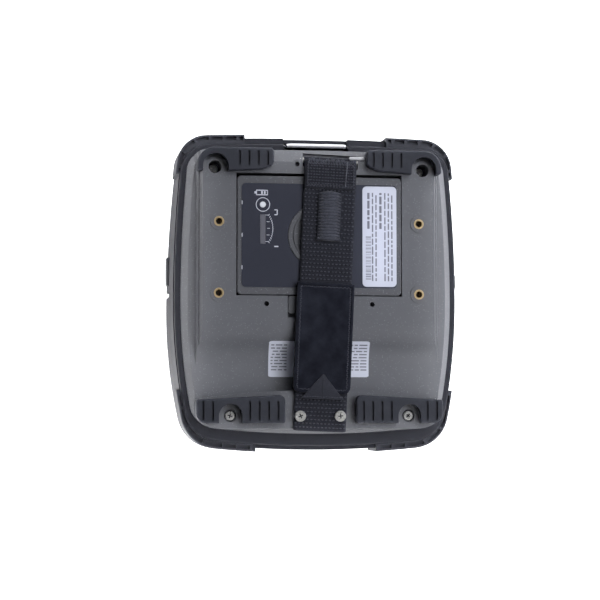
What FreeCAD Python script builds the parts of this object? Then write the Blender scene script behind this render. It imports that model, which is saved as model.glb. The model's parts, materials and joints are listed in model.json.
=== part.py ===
"""A rugged hand-held label maker: a mobile thermal label printer with a roll compartment under a hinged lid,
a control panel, a battery pack in the underside and a hand strap across it.

Frame: +Z up, the feet stand on z = 0. +Y is the far end, with the carrying bail.
The lid hinges at the -Y end.
All sizes are in millimetres.
"""

import FreeCAD
import Part
import math
import os

V = FreeCAD.Vector

# ---- body outline, seen from above ----
BODY_HALF_WIDTH = 89.3  # at the widest station
REACH = 1.5 * BODY_HALF_WIDTH  # clears the body on every side, for clipping boxes
WIDEST_Y = -4.0
SIDE_R_FAR = 862.0  # bow of the sides towards the far end
SIDE_R_NEAR = 365.0  # bow of the sides towards the hinge end
FAR_MID_Y = 98.0
FAR_BOW = 2.0
NEAR_MID_Y = -97.0
NEAR_BOW = 5.0
FAR_CORNER_R = 17.0
NEAR_CORNER_R = 21.0

# ---- heights ----
PLATEAU_Z = 5.0  # flat of the rear cover, above the floor
LEDGE_Z = 15.0
SEAM_Z = 24.0  # rear cover meets front case
CASE_LOW_Z = 22.0  # lower face of the front case, outside its bead
BEAD_Z, BEAD_R = 17.5, 1.3  # rounded bead of the front case round the rear cover
BEAD_INSET, BEAD_FAR_INSET, BEAD_NEAR_INSET = 0.6, 4.2, 2.5
LID_SEAM_Z = 54.0
WALL = 2.4

# ---- rear cover ----
COVER_INSET = 4.3
COVER_FAR_INSET = 8.0
COVER_NEAR_INSET = 10.0
PLATEAU_HALF_X = 72.5
LEDGE_HALF_X = 76.5
LEDGE_CORNER_R = 9.0
SIDE_STEP, SIDE_STEP_RISE = 0.9, 4.5  # small step along the drafted sides
PLATEAU_FAR_Y, PLATEAU_NEAR_Y = 88.5, -83.5
FAR_SLOPE_Y, FAR_SLOPE_Z = 81.0, 9.0
VALLEY_START_Y, VALLEY_DEEP_Y, VALLEY_END_Y = -17.0, -47.0, -60.0
VALLEY_Z = 13.0
RIDGE_BOW_R = 525.0
SLAB_CHAMFER = 4.0
BOSS_PROUD = 0.4

# ---- battery pack and its bay ----
BATTERY_X, BATTERY_Y, BATTERY_DEPTH = 102.6, 73.4, 22.5
BATTERY_LOW_Z = 4.9
BAY_WALL = 2.0
BATTERY_MID_Y = 35.2
BAY_GAP = 0.5
BAY_FAR_GAP = 1.8  # finger gap at the far edge
BATTERY_WALL = 1.6
BATTERY_FACE = 2.8
OVERLAY_X, OVERLAY_Y = 97.0, 64.0
RING_R, RING_WIDTH, RING_PROUD, RING_RECESS = 19.8, 4.2, 0.3, 1.3
CELL_R, CELL_LENGTH, CELL_COUNT, CELL_LEFT_X = 8.9, 65.2, 4, -39.5
GAUGE_X, GAUGE_Y = 35.4, 54.1
GAUGE_BUTTON_R = 1.8
GAUGE_BAR_X, GAUGE_BAR_Y, GAUGE_BAR_MID_Y = 3.3, 18.0, 38.9
TYPE_LABEL_X, TYPE_LABEL_Y, TYPE_LABEL_MID_X = 21.5, 62.5, -37.6
LATCH_HALF_X, LATCH_NEAR_Y, LATCH_FAR_Y, LATCH_THICK, LATCH_TRAVEL = 19.5, -13.0, -2.2, 2.6, 2.0
LATCH_GAP = 0.4
LATCH_SPRING_R = 0.9

# ---- fasteners and holes in the rear cover ----
INSERT_X, INSERT_FAR_Y, INSERT_NEAR_Y = 62.5, 43.4, -0.6
INSERT_OUTER_R, INSERT_BORE_R, INSERT_LENGTH = 3.1, 2.0, 8.0
WELL_X, WELL_Y, WELL_R, WELL_BOSS_R = 65.0, 77.0, 4.0, 5.4
SCREW_X, SCREW_Y = 55.5, -75.7
SCREW_HEAD_R, SCREW_HEAD_H, SCREW_SHANK_R = 2.95, 2.1, 1.5
SCREW_BOSS_R = 7.0
STRAP_SCREW_X, STRAP_SCREW_Y = 12.4, -75.9
PILOT_R = 1.5
PILOT_FAR_X, PILOT_FAR_Y = 14.0, 79.6
PILOT_NEAR_X, PILOT_NEAR_Y = 33.0, -7.0

# ---- hand strap ----
STRAP_WIDTH = 33.0
WEBBING = 1.4
STRAP_FAR_Y = 82.0
STRAP_NEAR_Y = -81.5
STRAP_BAR_R, BAR_POCKET_HALF_X, BAR_SEAT = 1.5, 17.3, 1.6
FLAP_THICK = 1.5
FLAP_NEAR_Y = -62.0
KEEPER_MID_X, KEEPER_HALF_X, KEEPER_FAR_Y, KEEPER_NEAR_Y = -0.2, 7.4, 61.6, 32.4

# ---- rubber bumper ----
LOBE_PROUD = 2.2
LOBE_LOW_Z, LOBE_HIGH_Z = 19.6, 48.0
LOBE_FAR_X, LOBE_FAR_Y = 45.0, 74.0
LOBE_NEAR_X, LOBE_NEAR_Y = 38.0, -60.0
BAIL_RECESS_X = 20.5

# ---- feet ----
FOOT_LOW_Z = 0.0
FOOT_EDGE = 1.0
GROOVE_WIDTH, GROOVE_DEPTH, GROOVE_PITCH = 1.5, 1.0, 5.8

# ---- carrying bail ----
BAIL_WIRE_R = 1.2
BAIL_HALF_X = 18.3
BAIL_PIVOT_Y, BAIL_PIVOT_Z = 92.6, 24.0
BAIL_LEG = 8.6
BAIL_BEND, BAIL_PIVOT_BEND, BAIL_STUB = 3.0, 1.7, 4.6

# ---- control panel ----
PANEL_EDGE_Y, PANEL_EDGE_Z = 2.8, 79.0  # near edge of the panel, beside the label exit
PANEL_TILT = 7.0  # degrees down towards the far end
PANEL_THICK = 2.6
CASE_TOP_R = 5.0
LENS_X, LENS_Y, LENS_T, LENS_MID = 70.0, 44.0, 1.4, 62.0
KEY_GAP, KEY_HEIGHT, KEY_PROUD, KEY_TRAVEL = 0.35, 4.6, 1.2, 0.8
KEY_ROW = 24.0
KEYS = {  # name: (x, distance from the panel's near edge, width, length)
    "key_power": (-52.0, KEY_ROW, 15.0, 10.0),
    "key_feed": (52.0, KEY_ROW, 15.0, 10.0),
    "key_left": (-19.0, KEY_ROW, 11.0, 12.0),
    "key_ok": (0.0, KEY_ROW, 15.0, 12.0),
    "key_right": (19.0, KEY_ROW, 11.0, 12.0),
    "key_menu": (-35.0, KEY_ROW, 11.0, 10.0),
}

# ---- media: roll, guides and tub ----
ROLL_Y, ROLL_Z = -48.0, 48.5
ROLL_R, ROLL_HALF_X, CORE_R, CORE_BORE_R = 28.5, 38.0, 14.2, 12.7
GUIDE_GAP, GUIDE_THICK, GUIDE_DISC_R, HUB_R, HUB_LENGTH = 0.4, 4.0, 17.0, 12.3, 6.0
GUIDE_TRAVEL = 13.0
RACK_LOW_Z, RACK_HIGH_Z = 19.4, 24.4
PINION_Y, PINION_TEETH, RACK_MODULE = -15.0, 10, 0.8
RACK_BACK = 4.0
TUB_R, TUB_WALL, TUB_HALF_X, TUB_TOP_Z = 30.4, 2.0, 64.0, 50.0

# ---- print mechanism ----
PLATEN_Y, PLATEN_Z, PLATEN_R, PLATEN_HALF_X = -6.2, 68.0, 6.3, 54.0
SHAFT_R, BUSH_R = 2.5, 4.2
CHEEK_X, CHEEK_THICK = 56.2, 3.6
GEAR_MODULE, PLATEN_TEETH, IDLER_TEETH, MOTOR_TEETH = 1.0, 18, 30, 12
GEAR_X, GEAR_FACE = 70.0, 5.0
CHEEK_PLATE_X, CHEEK_PLATE_T = 66.0, 2.5
IDLER_LEAN = 5.3  # degrees that the idler stands off the vertical under the platen gear
MOTOR_RISE = 10.0  # degrees that the motor stands above the idler
MOTOR_R, MOTOR_LENGTH = 14.0, 28.0
IDLER_SHAFT_R = 2.0
HEAD_HALF_X, HEAD_GAP = 55.0, 0.15

# ---- lid ----
LID_EDGE_Y = -0.6
HINGE_Y, HINGE_Z, HINGE_R, HINGE_PIN_R, HINGE_SPRING_R = -90.6, 60.0, 5.6, 1.75, 2.3
HINGE_HALF_X, LUG_IN_X, LUG_OUT_X, HINGE_GAP = 46.0, 26.0, 38.0, 0.4
CROWN_Z = 82.0
LID_EDGE_R = 3.0
LID_GAP = 0.3
WINDOW_X, WINDOW_Y, WINDOW_MID_Y = 62.0, 34.0, -46.0

# ---- side parts ----
PORT_HINGE_Y, PORT_TIP_Y, PORT_LOW_Z, PORT_HIGH_Z = 70.0, 5.0, 30.0, 47.0
PORT_HINGE_X = BODY_HALF_WIDTH - 1.9
PORT_BARREL_R, PORT_TAB_PROUD = 1.1, 3.2
RELEASE_Y, RELEASE_Z, RELEASE_LENGTH, RELEASE_HEIGHT = 16.0, 62.0, 18.0, 9.0


# ================= helpers =================
def box(x0, x1, y0, y1, z0, z1):
    return Part.makeBox(x1 - x0, y1 - y0, z1 - z0, V(x0, y0, z0))


def cyl_x(r, x0, x1, y, z):
    return Part.makeCylinder(r, x1 - x0, V(x0, y, z), V(1, 0, 0))


def cyl_y(r, y0, y1, x, z):
    return Part.makeCylinder(r, y1 - y0, V(x, y0, z), V(0, 1, 0))


def cyl_z(r, z0, z1, x, y):
    return Part.makeCylinder(r, z1 - z0, V(x, y, z0), V(0, 0, 1))


def ring_x(r_out, r_in, x0, x1, y, z):
    return cyl_x(r_out, x0, x1, y, z).cut(cyl_x(r_in, x0 - 1, x1 + 1, y, z))


def plan_prism(points, z0, z1):
    """A prism of a polygon given as (x, y) points."""
    wire = Part.makePolygon([V(x, y, z0) for x, y in points] + [V(*points[0], z0)])
    return Part.Face(wire).extrude(V(0, 0, z1 - z0))


def side_prism(points, x0, x1):
    """A prism along X of a polygon given as (y, z) points."""
    wire = Part.makePolygon([V(x0, y, z) for y, z in points] + [V(x0, *points[0])])
    return Part.Face(wire).extrude(V(x1 - x0, 0, 0))


def rounded_box(x0, x1, y0, y1, z0, z1, r):
    solid = box(x0, x1, y0, y1, z0, z1)
    return solid.makeFillet(r, upright_edges(solid))


def upright_edges(solid):
    return [e for e in solid.Edges if is_along(e, V(0, 0, 1))]


def is_along(edge, axis):
    if not isinstance(edge.Curve, Part.Line):
        return False
    return abs(abs(edge.Curve.Direction.dot(axis)) - 1) < 1e-6


def edges_in_plane(solid, z):
    return [
        e for e in solid.Edges if abs(e.BoundBox.ZMin - z) < 1e-4 and abs(e.BoundBox.ZMax - z) < 1e-4
    ]


def mirrored(shape):
    """The shape and its mirror image across the YZ plane."""
    return [shape, shape.mirror(V(0, 0, 0), V(1, 0, 0))]


def fuse(shapes):
    whole = shapes[0].multiFuse(shapes[1:]) if len(shapes) > 1 else shapes[0]
    return whole.removeSplitter()


def side_x(y, inset):
    """Half width of the body's outline at y."""
    radius = SIDE_R_FAR if y > WIDEST_Y else SIDE_R_NEAR
    reach = radius - inset
    return BODY_HALF_WIDTH - radius + math.sqrt(reach**2 - (y - WIDEST_Y) ** 2)


def outline_prism(inset, z0, z1, far_inset=None, near_inset=None, far_r=None, near_r=None):
    """The bowed body outline, pulled in by inset, as a prism with rounded corners."""
    far_inset = inset if far_inset is None else far_inset
    near_inset = inset if near_inset is None else near_inset
    far_r = max(FAR_CORNER_R - inset, 4.0) if far_r is None else far_r
    near_r = max(NEAR_CORNER_R - inset, 4.0) if near_r is None else near_r
    far_y, near_y = FAR_MID_Y - FAR_BOW - far_inset, NEAR_MID_Y + NEAR_BOW + near_inset
    far_x, near_x = side_x(far_y, inset), side_x(near_y, inset)
    widest = BODY_HALF_WIDTH - inset
    upper, lower = (far_y + WIDEST_Y) / 2, (near_y + WIDEST_Y) / 2

    def arc(a, b, c):
        return Part.Arc(V(*a, z0), V(*b, z0), V(*c, z0)).toShape()

    edges = [
        arc((-far_x, far_y), (0, far_y + FAR_BOW), (far_x, far_y)),
        arc((far_x, far_y), (side_x(upper, inset), upper), (widest, WIDEST_Y)),
        arc((widest, WIDEST_Y), (side_x(lower, inset), lower), (near_x, near_y)),
        arc((near_x, near_y), (0, near_y - NEAR_BOW), (-near_x, near_y)),
        arc((-near_x, near_y), (-side_x(lower, inset), lower), (-widest, WIDEST_Y)),
        arc((-widest, WIDEST_Y), (-side_x(upper, inset), upper), (-far_x, far_y)),
    ]
    solid = Part.Face(Part.Wire(edges)).extrude(V(0, 0, z1 - z0))
    far_edges = [e for e in upright_edges(solid) if abs(e.BoundBox.YMin - far_y) < 0.01]
    near_edges = [e for e in upright_edges(solid) if abs(e.BoundBox.YMin - near_y) < 0.01]
    solid = solid.makeFillet(far_r, far_edges)
    near_edges = [e for e in upright_edges(solid) if abs(e.BoundBox.YMin - near_y) < 0.01]
    return solid.makeFillet(near_r, near_edges)


def gear(teeth, module, thickness, bore, backlash=0.22, pressure=20.0, turn=0.0):
    """An involute spur gear along +Z from z = 0, its first tooth on +X turned by turn degrees."""
    pitch_r = teeth * module / 2
    base_r = pitch_r * math.cos(math.radians(pressure))
    tip_r, root_r = pitch_r + 0.92 * module, pitch_r - 1.22 * module
    start_r = max(base_r, root_r + 0.05)
    involute = math.tan(math.radians(pressure)) - math.radians(pressure)
    half_tooth = math.pi / 2 / teeth - backlash / 2 / pitch_r

    def flank(r):
        roll = math.acos(min(1.0, base_r / r))
        return half_tooth + involute - (math.tan(roll) - roll)

    radii = [start_r + (tip_r - start_r) * k / 3 for k in range(4)]

    def at(r, angle):
        return V(r * math.cos(angle), r * math.sin(angle), 0)

    edges = []
    for n in range(teeth):
        mid = 2 * math.pi * n / teeth + math.radians(turn)
        after = 2 * math.pi * (n + 1) / teeth + math.radians(turn)
        rising = [at(r, mid - flank(r)) for r in radii]
        falling = [at(r, mid + flank(r)) for r in reversed(radii)]
        root_a, root_b = at(root_r, mid - flank(start_r)), at(root_r, mid + flank(start_r))
        next_a = at(root_r, after - flank(start_r))
        points = [root_a] + rising
        edges += [Part.makeLine(a, b) for a, b in zip(points, points[1:])]
        edges.append(Part.Arc(rising[-1], at(tip_r, mid), falling[0]).toShape())
        points = falling + [root_b]
        edges += [Part.makeLine(a, b) for a, b in zip(points, points[1:])]
        edges.append(Part.Arc(root_b, at(root_r, (mid + after) / 2), next_a).toShape())
    solid = Part.Face(Part.Wire(edges)).extrude(V(0, 0, thickness))
    return solid.cut(cyl_z(bore, -1, thickness + 1, 0, 0)) if bore else solid


def gear_x(teeth, x0, y, z, bore, turn):
    """A gear whose axle lies along X. turn is measured from +Y towards +Z."""
    wheel = gear(teeth, GEAR_MODULE, GEAR_FACE, bore, turn=turn)
    along_x = FreeCAD.Rotation(V(0, 1, 0), V(0, 0, 1), V(1, 0, 0), "XYZ")
    wheel.Placement = FreeCAD.Placement(V(x0, y, z), along_x)
    return wheel


def on_panel(shape):
    """Moves a shape drawn with z = 0 on a level panel, y from the panel's near edge, to the tilted panel."""
    turned = shape.copy()
    turned.rotate(V(0, 0, 0), V(1, 0, 0), -PANEL_TILT)
    turned.translate(V(0, PANEL_EDGE_Y, PANEL_EDGE_Z))
    return turned


def save(name, shape):
    solids = shape.Solids
    assert solids and all(s.isValid() for s in solids), name
    whole = solids[0] if len(solids) == 1 else Part.makeCompound(solids)
    whole.exportStep(f"parts/{name}.step")
    print(f"{name:22s} solids {len(solids)} volume {whole.Volume:10.1f}")


# ================= rear cover =================
def cover_slab(offset):
    """The flat rim of the cover, with its sloping facet, moved inwards by offset."""
    low = LEDGE_Z - 2.0 + offset
    slab = outline_prism(
        COVER_INSET + offset, low, SEAM_Z, COVER_FAR_INSET + offset, COVER_NEAR_INSET + offset
    )
    return slab.makeChamfer(SLAB_CHAMFER, edges_in_plane(slab, low))


def cover_block(offset):
    """The raised part of the cover, with drafted sides and a sloping far end, moved inwards by offset."""
    low, high = PLATEAU_Z + offset, LEDGE_Z + 3.0
    near = PLATEAU_NEAR_Y + offset
    profile = side_prism(
        [
            (PLATEAU_FAR_Y - offset, high),
            (PLATEAU_FAR_Y - offset, FAR_SLOPE_Z + offset / 2),
            (FAR_SLOPE_Y - offset / 3, low),
            (near, low),
            (near - 1.0, high),
        ],
        -LEDGE_HALF_X,
        LEDGE_HALF_X,
    )
    draft = (LEDGE_HALF_X - PLATEAU_HALF_X) / (LEDGE_Z - PLATEAU_Z)
    half_low = PLATEAU_HALF_X - offset
    half_high = half_low + draft * (high - low)
    step_z = low + SIDE_STEP_RISE
    step_x = half_low + (draft - SIDE_STEP / (high - low)) * SIDE_STEP_RISE
    far_y, near_y = PLATEAU_FAR_Y + 5.0, PLATEAU_NEAR_Y - 5.0
    flank = [(half_low, low), (step_x, step_z), (step_x + SIDE_STEP, step_z), (half_high, high)]
    points = [V(x, near_y, z) for x, z in flank] + [V(-x, near_y, z) for x, z in reversed(flank)]
    section = Part.Face(Part.makePolygon(points + points[:1]))
    plan = box(-half_high, half_high, near - 1.0, PLATEAU_FAR_Y + 1.0, low - 1.0, high + 1.0)
    near_corners = [e for e in upright_edges(plan) if e.BoundBox.YMin < near]
    plan = plan.makeFillet(LEDGE_CORNER_R - offset, near_corners)
    within = outline_prism(
        COVER_INSET + offset, low - 1.0, high + 1.0, COVER_FAR_INSET + offset, COVER_NEAR_INSET + offset
    )
    return profile.common(section.extrude(V(0, far_y - near_y, 0))).common(plan).common(within)


def valley_tool(offset):
    """The hand space to cut out of the cover, grown by offset. Its steep end is bowed in plan."""
    half = LEDGE_HALF_X + 8.0
    floor, start, base = VALLEY_Z + offset, VALLEY_START_Y + offset, PLATEAU_Z + offset
    wall = VALLEY_END_Y - 12.0
    middle_y, middle_z = (start + VALLEY_DEEP_Y) / 2, (base + floor) / 2
    dip = (floor - base) * 0.11
    run = start - VALLEY_DEEP_Y

    def at(y, z):
        return V(-half, y, z)

    edges = [
        Part.Arc(at(start, base), at(start - run / 4, base + dip), at(middle_y, middle_z)).toShape(),
        Part.Arc(
            at(middle_y, middle_z), at(VALLEY_DEEP_Y + run / 4, floor - dip), at(VALLEY_DEEP_Y, floor)
        ).toShape(),
        Part.makeLine(at(VALLEY_DEEP_Y, floor), at(wall, floor)),
        Part.makeLine(at(wall, floor), at(wall, -5.0)),
        Part.makeLine(at(wall, -5.0), at(start, -5.0)),
        Part.makeLine(at(start, -5.0), at(start, base)),
    ]
    hollow = Part.Face(Part.Wire(edges)).extrude(V(2 * half, 0, 0))
    ridge = cyl_z(RIDGE_BOW_R, -6.0, floor + 6.0, 0, VALLEY_END_Y - offset - RIDGE_BOW_R)
    return hollow.cut(ridge)


BAY_NEAR_Y = BATTERY_MID_Y - BATTERY_Y / 2 - BAY_GAP
BAY_FAR_Y = BATTERY_MID_Y + BATTERY_Y / 2 + BAY_FAR_GAP
BAY_HALF_X = BATTERY_X / 2 + BAY_GAP
BATTERY_HIGH_Z = BATTERY_LOW_Z + BATTERY_DEPTH
BAY_ROOF_Z = BATTERY_HIGH_Z + 0.8
STRAP_TILT = 2.5  # degrees that the strap runs askew
STRAP_PIVOT_Y = STRAP_SCREW_Y
BAR_Z = PLATEAU_Z + 2.6


def strap_turn(shape):
    """Turns a shape drawn along the Y axis to the strap's slight slant."""
    turned = shape.copy()
    turned.rotate(V(0, STRAP_PIVOT_Y, 0), V(0, 0, 1), STRAP_TILT)
    return turned


def corners(x, y):
    return [(sx * x, y) for sx in (-1, 1)]


INSERTS = corners(INSERT_X, INSERT_FAR_Y) + corners(INSERT_X, INSERT_NEAR_Y)


def make_rear_cover():
    outer = fuse([cover_slab(0.0), cover_block(0.0)]).cut(valley_tool(0.0))
    bosses = [cyl_z(INSERT_OUTER_R + 2.2, PLATEAU_Z - BOSS_PROUD, LEDGE_Z, x, y) for x, y in INSERTS]
    bosses += [cyl_z(WELL_BOSS_R, PLATEAU_Z, SEAM_Z, x, y) for x, y in corners(WELL_X, WELL_Y)]
    bosses += [cyl_z(SCREW_BOSS_R, PLATEAU_Z, SEAM_Z, x, y) for x, y in corners(SCREW_X, SCREW_Y)]
    bosses += [cyl_z(4.5, PLATEAU_Z, LEDGE_Z, x, y) for x, y in corners(STRAP_SCREW_X, STRAP_SCREW_Y)]
    bosses.append(cyl_z(3.0, PLATEAU_Z - BOSS_PROUD / 2, 12.0, PILOT_FAR_X, PILOT_FAR_Y))
    bosses += [cyl_z(3.4, PLATEAU_Z, 12.0, x, y) for x, y in corners(PILOT_NEAR_X, PILOT_NEAR_Y)]
    half, wall = BAR_POCKET_HALF_X, 2.0
    near_y, far_y, roof = STRAP_FAR_Y - 4.4, STRAP_FAR_Y + 4.2, BAR_Z + 3.6
    bar_pocket = strap_turn(box(-half, half, near_y, far_y, 0, roof))
    pocket_wall = strap_turn(box(-half - wall, half + wall, near_y - wall, far_y + wall, 0, roof + wall))
    latch_pocket = box(
        -LATCH_HALF_X - LATCH_GAP,
        LATCH_HALF_X + LATCH_GAP,
        LATCH_NEAR_Y - LATCH_TRAVEL - LATCH_GAP,
        BAY_NEAR_Y + 1.0,
        0,
        PLATEAU_Z + LATCH_THICK + LATCH_GAP,
    )
    bay_block = box(
        -BAY_HALF_X - BAY_WALL,
        BAY_HALF_X + BAY_WALL,
        BAY_NEAR_Y - BAY_WALL,
        BAY_FAR_Y + BAY_WALL,
        PLATEAU_Z,
        BAY_ROOF_Z + BAY_WALL,
    )
    inner = fuse([cover_slab(WALL), cover_block(WALL)])
    lip = 2 * WALL
    mouth = outline_prism(
        COVER_INSET + lip, SEAM_Z - 4, SEAM_Z + 1, COVER_FAR_INSET + lip, COVER_NEAR_INSET + lip
    )
    inner = fuse([inner, mouth])
    pocket_back = PLATEAU_Z + LATCH_THICK + LATCH_GAP + WALL
    latch_floor = box(-LATCH_HALF_X - 3, LATCH_HALF_X + 3, LATCH_NEAR_Y - 5, BAY_NEAR_Y, 0, pocket_back)
    inner = inner.cut(fuse(bosses + [bay_block, latch_floor])).cut(pocket_wall).cut(valley_tool(WALL))
    cover = fuse([outer, *bosses, bay_block]).cut(inner)
    bay = box(-BAY_HALF_X, BAY_HALF_X, BAY_NEAR_Y, BAY_FAR_Y, 0, BAY_ROOF_Z)
    holes = [bay, latch_pocket, bar_pocket]
    holes += [cyl_z(INSERT_OUTER_R, 0, PLATEAU_Z + INSERT_LENGTH, x, y) for x, y in INSERTS]
    holes += [cyl_z(WELL_R, 0, LEDGE_Z + 3.0, x, y) for x, y in corners(WELL_X, WELL_Y)]
    holes += [cyl_z(SCREW_SHANK_R + 0.2, 0, SEAM_Z + 1, x, y) for x, y in corners(WELL_X, WELL_Y)]
    holes += [cyl_z(SCREW_SHANK_R + 0.2, 0, SEAM_Z + 1, x, y) for x, y in corners(SCREW_X, SCREW_Y)]
    head_top = PLATEAU_Z + SCREW_HEAD_H + 0.3
    holes += [cyl_z(SCREW_HEAD_R + 0.9, 0, head_top, x, y) for x, y in corners(SCREW_X, SCREW_Y)]
    holes += [cyl_z(SCREW_SHANK_R, 0, LEDGE_Z - 1.5, x, y) for x, y in corners(STRAP_SCREW_X, STRAP_SCREW_Y)]
    holes.append(cyl_z(PILOT_R, 0, 10.0, PILOT_FAR_X, PILOT_FAR_Y))
    holes += [cyl_z(PILOT_R, 0, 10.0, x, y) for x, y in corners(PILOT_NEAR_X, PILOT_NEAR_Y)]
    seat = BAR_POCKET_HALF_X + BAR_SEAT + 0.1
    holes.append(strap_turn(cyl_x(STRAP_BAR_R + 0.02, -seat, seat, STRAP_FAR_Y, BAR_Z)))
    for hole in holes:
        cover = cover.cut(hole)
    return cover.removeSplitter()


# ================= feet, inserts, screws =================
def round_corners(prism, corner_list):
    """Rounds upright edges of a prism. corner_list holds (x, y, radius), where 0 leaves the edge sharp."""
    for x, y, radius in [corner for corner in corner_list if corner[2]]:
        ends = [(e, e.Vertexes[0]) for e in upright_edges(prism)]
        edges = [e for e, end in ends if math.hypot(end.X - x, end.Y - y) < 0.01]
        prism = prism.makeFillet(radius, edges)
    return prism


def foot(corner_list, arch, arch_open_y, grooves, groove_y):
    """A rubber pad with rounded corners, an arch round a screw and blind grooves across it."""
    z_top = 10.0
    pad = round_corners(plan_prism([(x, y) for x, y, _ in corner_list], FOOT_LOW_Z, z_top), corner_list)
    pad = pad.makeFillet(FOOT_EDGE, edges_in_plane(pad, FOOT_LOW_Z))
    arch_x, arch_y, arch_r = arch
    pad = pad.cut(cyl_z(arch_r, -1, z_top + 1, arch_x, arch_y))
    y0, y1 = sorted((arch_y, arch_open_y))
    pad = pad.cut(box(arch_x - arch_r, arch_x + arch_r, y0, y1, -1, z_top + 1))
    half = GROOVE_WIDTH / 2
    for x in grooves:
        pad = pad.cut(rounded_box(x - half, x + half, *groove_y, -1, FOOT_LOW_Z + GROOVE_DEPTH, half - 0.02))
    return pad


def make_feet():
    outer = fuse([cover_slab(0.0), cover_block(0.0)])
    far_corners = [
        (29, 88.8, 2.5), (29, 78.5, 3), (36, 75.6, 5), (56, 74.2, 0), (76.2, 74.2, 1.5), (76.2, 88.8, 10.8)
    ]
    far_grooves = [33 + GROOVE_PITCH * k for k in range(4)]
    far = foot(far_corners, (WELL_X, WELL_Y, 7.9), 60.0, far_grooves, (77.8, 87.0))
    near_corners = [(22, -62.9, 3.5), (22, -80.3, 1.5), (76.6, -80.3, 6), (76.6, -65.9, 1.5)]
    near_grooves = [26.5 + GROOVE_PITCH * k for k in range(4)] + [66.5, 72.4]
    near = foot(near_corners, (SCREW_X, SCREW_Y, 7.2), -95.0, near_grooves, (-78.6, -66.8))
    return mirrored(far.cut(outer)) + mirrored(near.cut(outer).cut(valley_tool(0.0)))


def screw(x, y, z_head, length):
    """A cross-head screw pointing up, its head's face at z_head."""
    head = cyl_z(SCREW_HEAD_R, z_head, z_head + SCREW_HEAD_H, x, y)
    head = head.makeFillet(0.7, edges_in_plane(head, z_head))
    shank = cyl_z(SCREW_SHANK_R, z_head + SCREW_HEAD_H, z_head + length, x, y)
    whole = fuse([head, shank])
    slot_x = box(x - 1.7, x + 1.7, y - 0.35, y + 0.35, z_head - 1, z_head + 1.2)
    slot_y = box(x - 0.35, x + 0.35, y - 1.7, y + 1.7, z_head - 1, z_head + 1.2)
    return whole.cut(slot_x).cut(slot_y)


def make_case_screws():
    near = [screw(x, y, PLATEAU_Z + 0.2, 22.0) for x, y in corners(SCREW_X, SCREW_Y)]
    far = [screw(x, y, LEDGE_Z + 0.9, 14.0) for x, y in corners(WELL_X, WELL_Y)]
    return Part.makeCompound(near + far)


def make_inserts():
    rings = []
    for x, y in INSERTS:
        ring = cyl_z(INSERT_OUTER_R, PLATEAU_Z - BOSS_PROUD - 0.1, PLATEAU_Z + INSERT_LENGTH - 0.2, x, y)
        ring = ring.cut(cyl_z(INSERT_BORE_R, 0, 20, x, y))
        rings.append(ring)
    return Part.makeCompound(rings)


# ================= hand strap =================
WEB_LOW_Z = BATTERY_LOW_Z - RING_PROUD - 0.1 - WEBBING  # the strap's lower face, clear of the battery's ring


def make_strap():
    half = STRAP_WIDTH / 2
    low = WEB_LOW_Z
    run = box(-half, half, STRAP_NEAR_Y, STRAP_FAR_Y, low, low + WEBBING)
    loop_r = STRAP_BAR_R + WEBBING + 0.1
    loop = ring_x(loop_r, STRAP_BAR_R + 0.1, -half, half, STRAP_FAR_Y, BAR_Z)
    lead = box(-half, half, STRAP_FAR_Y + STRAP_BAR_R + 0.1, STRAP_FAR_Y + loop_r, low, BAR_Z)
    tail = box(-half, half, STRAP_FAR_Y, STRAP_FAR_Y + loop_r, low, low + WEBBING)
    strap = fuse([run, loop, lead, tail])
    strap = strap_turn(strap)
    for x, y in corners(STRAP_SCREW_X, STRAP_SCREW_Y):
        strap = strap.cut(cyl_z(SCREW_SHANK_R + 0.3, 0, 9, x, y))
    return strap


def make_strap_parts():
    half = STRAP_WIDTH / 2
    top = WEB_LOW_Z - 0.1
    patch = box(-half, half, KEEPER_FAR_Y + 2.5, STRAP_FAR_Y, top - WEBBING, top)
    flap = box(-half, half, FLAP_NEAR_Y, 5.6, top - FLAP_THICK, top)
    x0, x1 = KEEPER_MID_X - KEEPER_HALF_X, KEEPER_MID_X + KEEPER_HALF_X
    keeper = box(x0, x1, KEEPER_NEAR_Y, KEEPER_FAR_Y, top - WEBBING, top)
    seat = BAR_POCKET_HALF_X + BAR_SEAT
    bar = cyl_x(STRAP_BAR_R, -seat, seat, STRAP_FAR_Y, BAR_Z)
    return [strap_turn(piece) for piece in (patch, flap, keeper, bar)]


def make_strap_screws():
    """Two cup washers with low domed cross-head screws that clamp the strap's near end."""
    pieces = []
    for side in (-1, 1):
        x, y = side * STRAP_SCREW_X, STRAP_SCREW_Y
        z = WEB_LOW_Z - 0.05
        washer = cyl_z(SCREW_HEAD_R + 0.5, z - 0.8, z, x, y)
        washer = washer.makeFillet(0.4, edges_in_plane(washer, z - 0.8))
        washer = washer.cut(cyl_z(SCREW_SHANK_R + 0.1, 0, 9, x, y))
        head = cyl_z(SCREW_HEAD_R - 0.3, z - 1.95, z - 0.85, x, y)
        head = head.makeFillet(0.6, edges_in_plane(head, z - 1.95))
        head = fuse([head, cyl_z(SCREW_SHANK_R, z - 0.9, LEDGE_Z - 2.0, x, y)])
        for half_x, half_y in ((1.6, 0.35), (0.35, 1.6)):
            head = head.cut(box(x - half_x, x + half_x, y - half_y, y + half_y, 0, z - 1.2))
        pieces += [washer, head]
    return Part.makeCompound(pieces)


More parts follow.
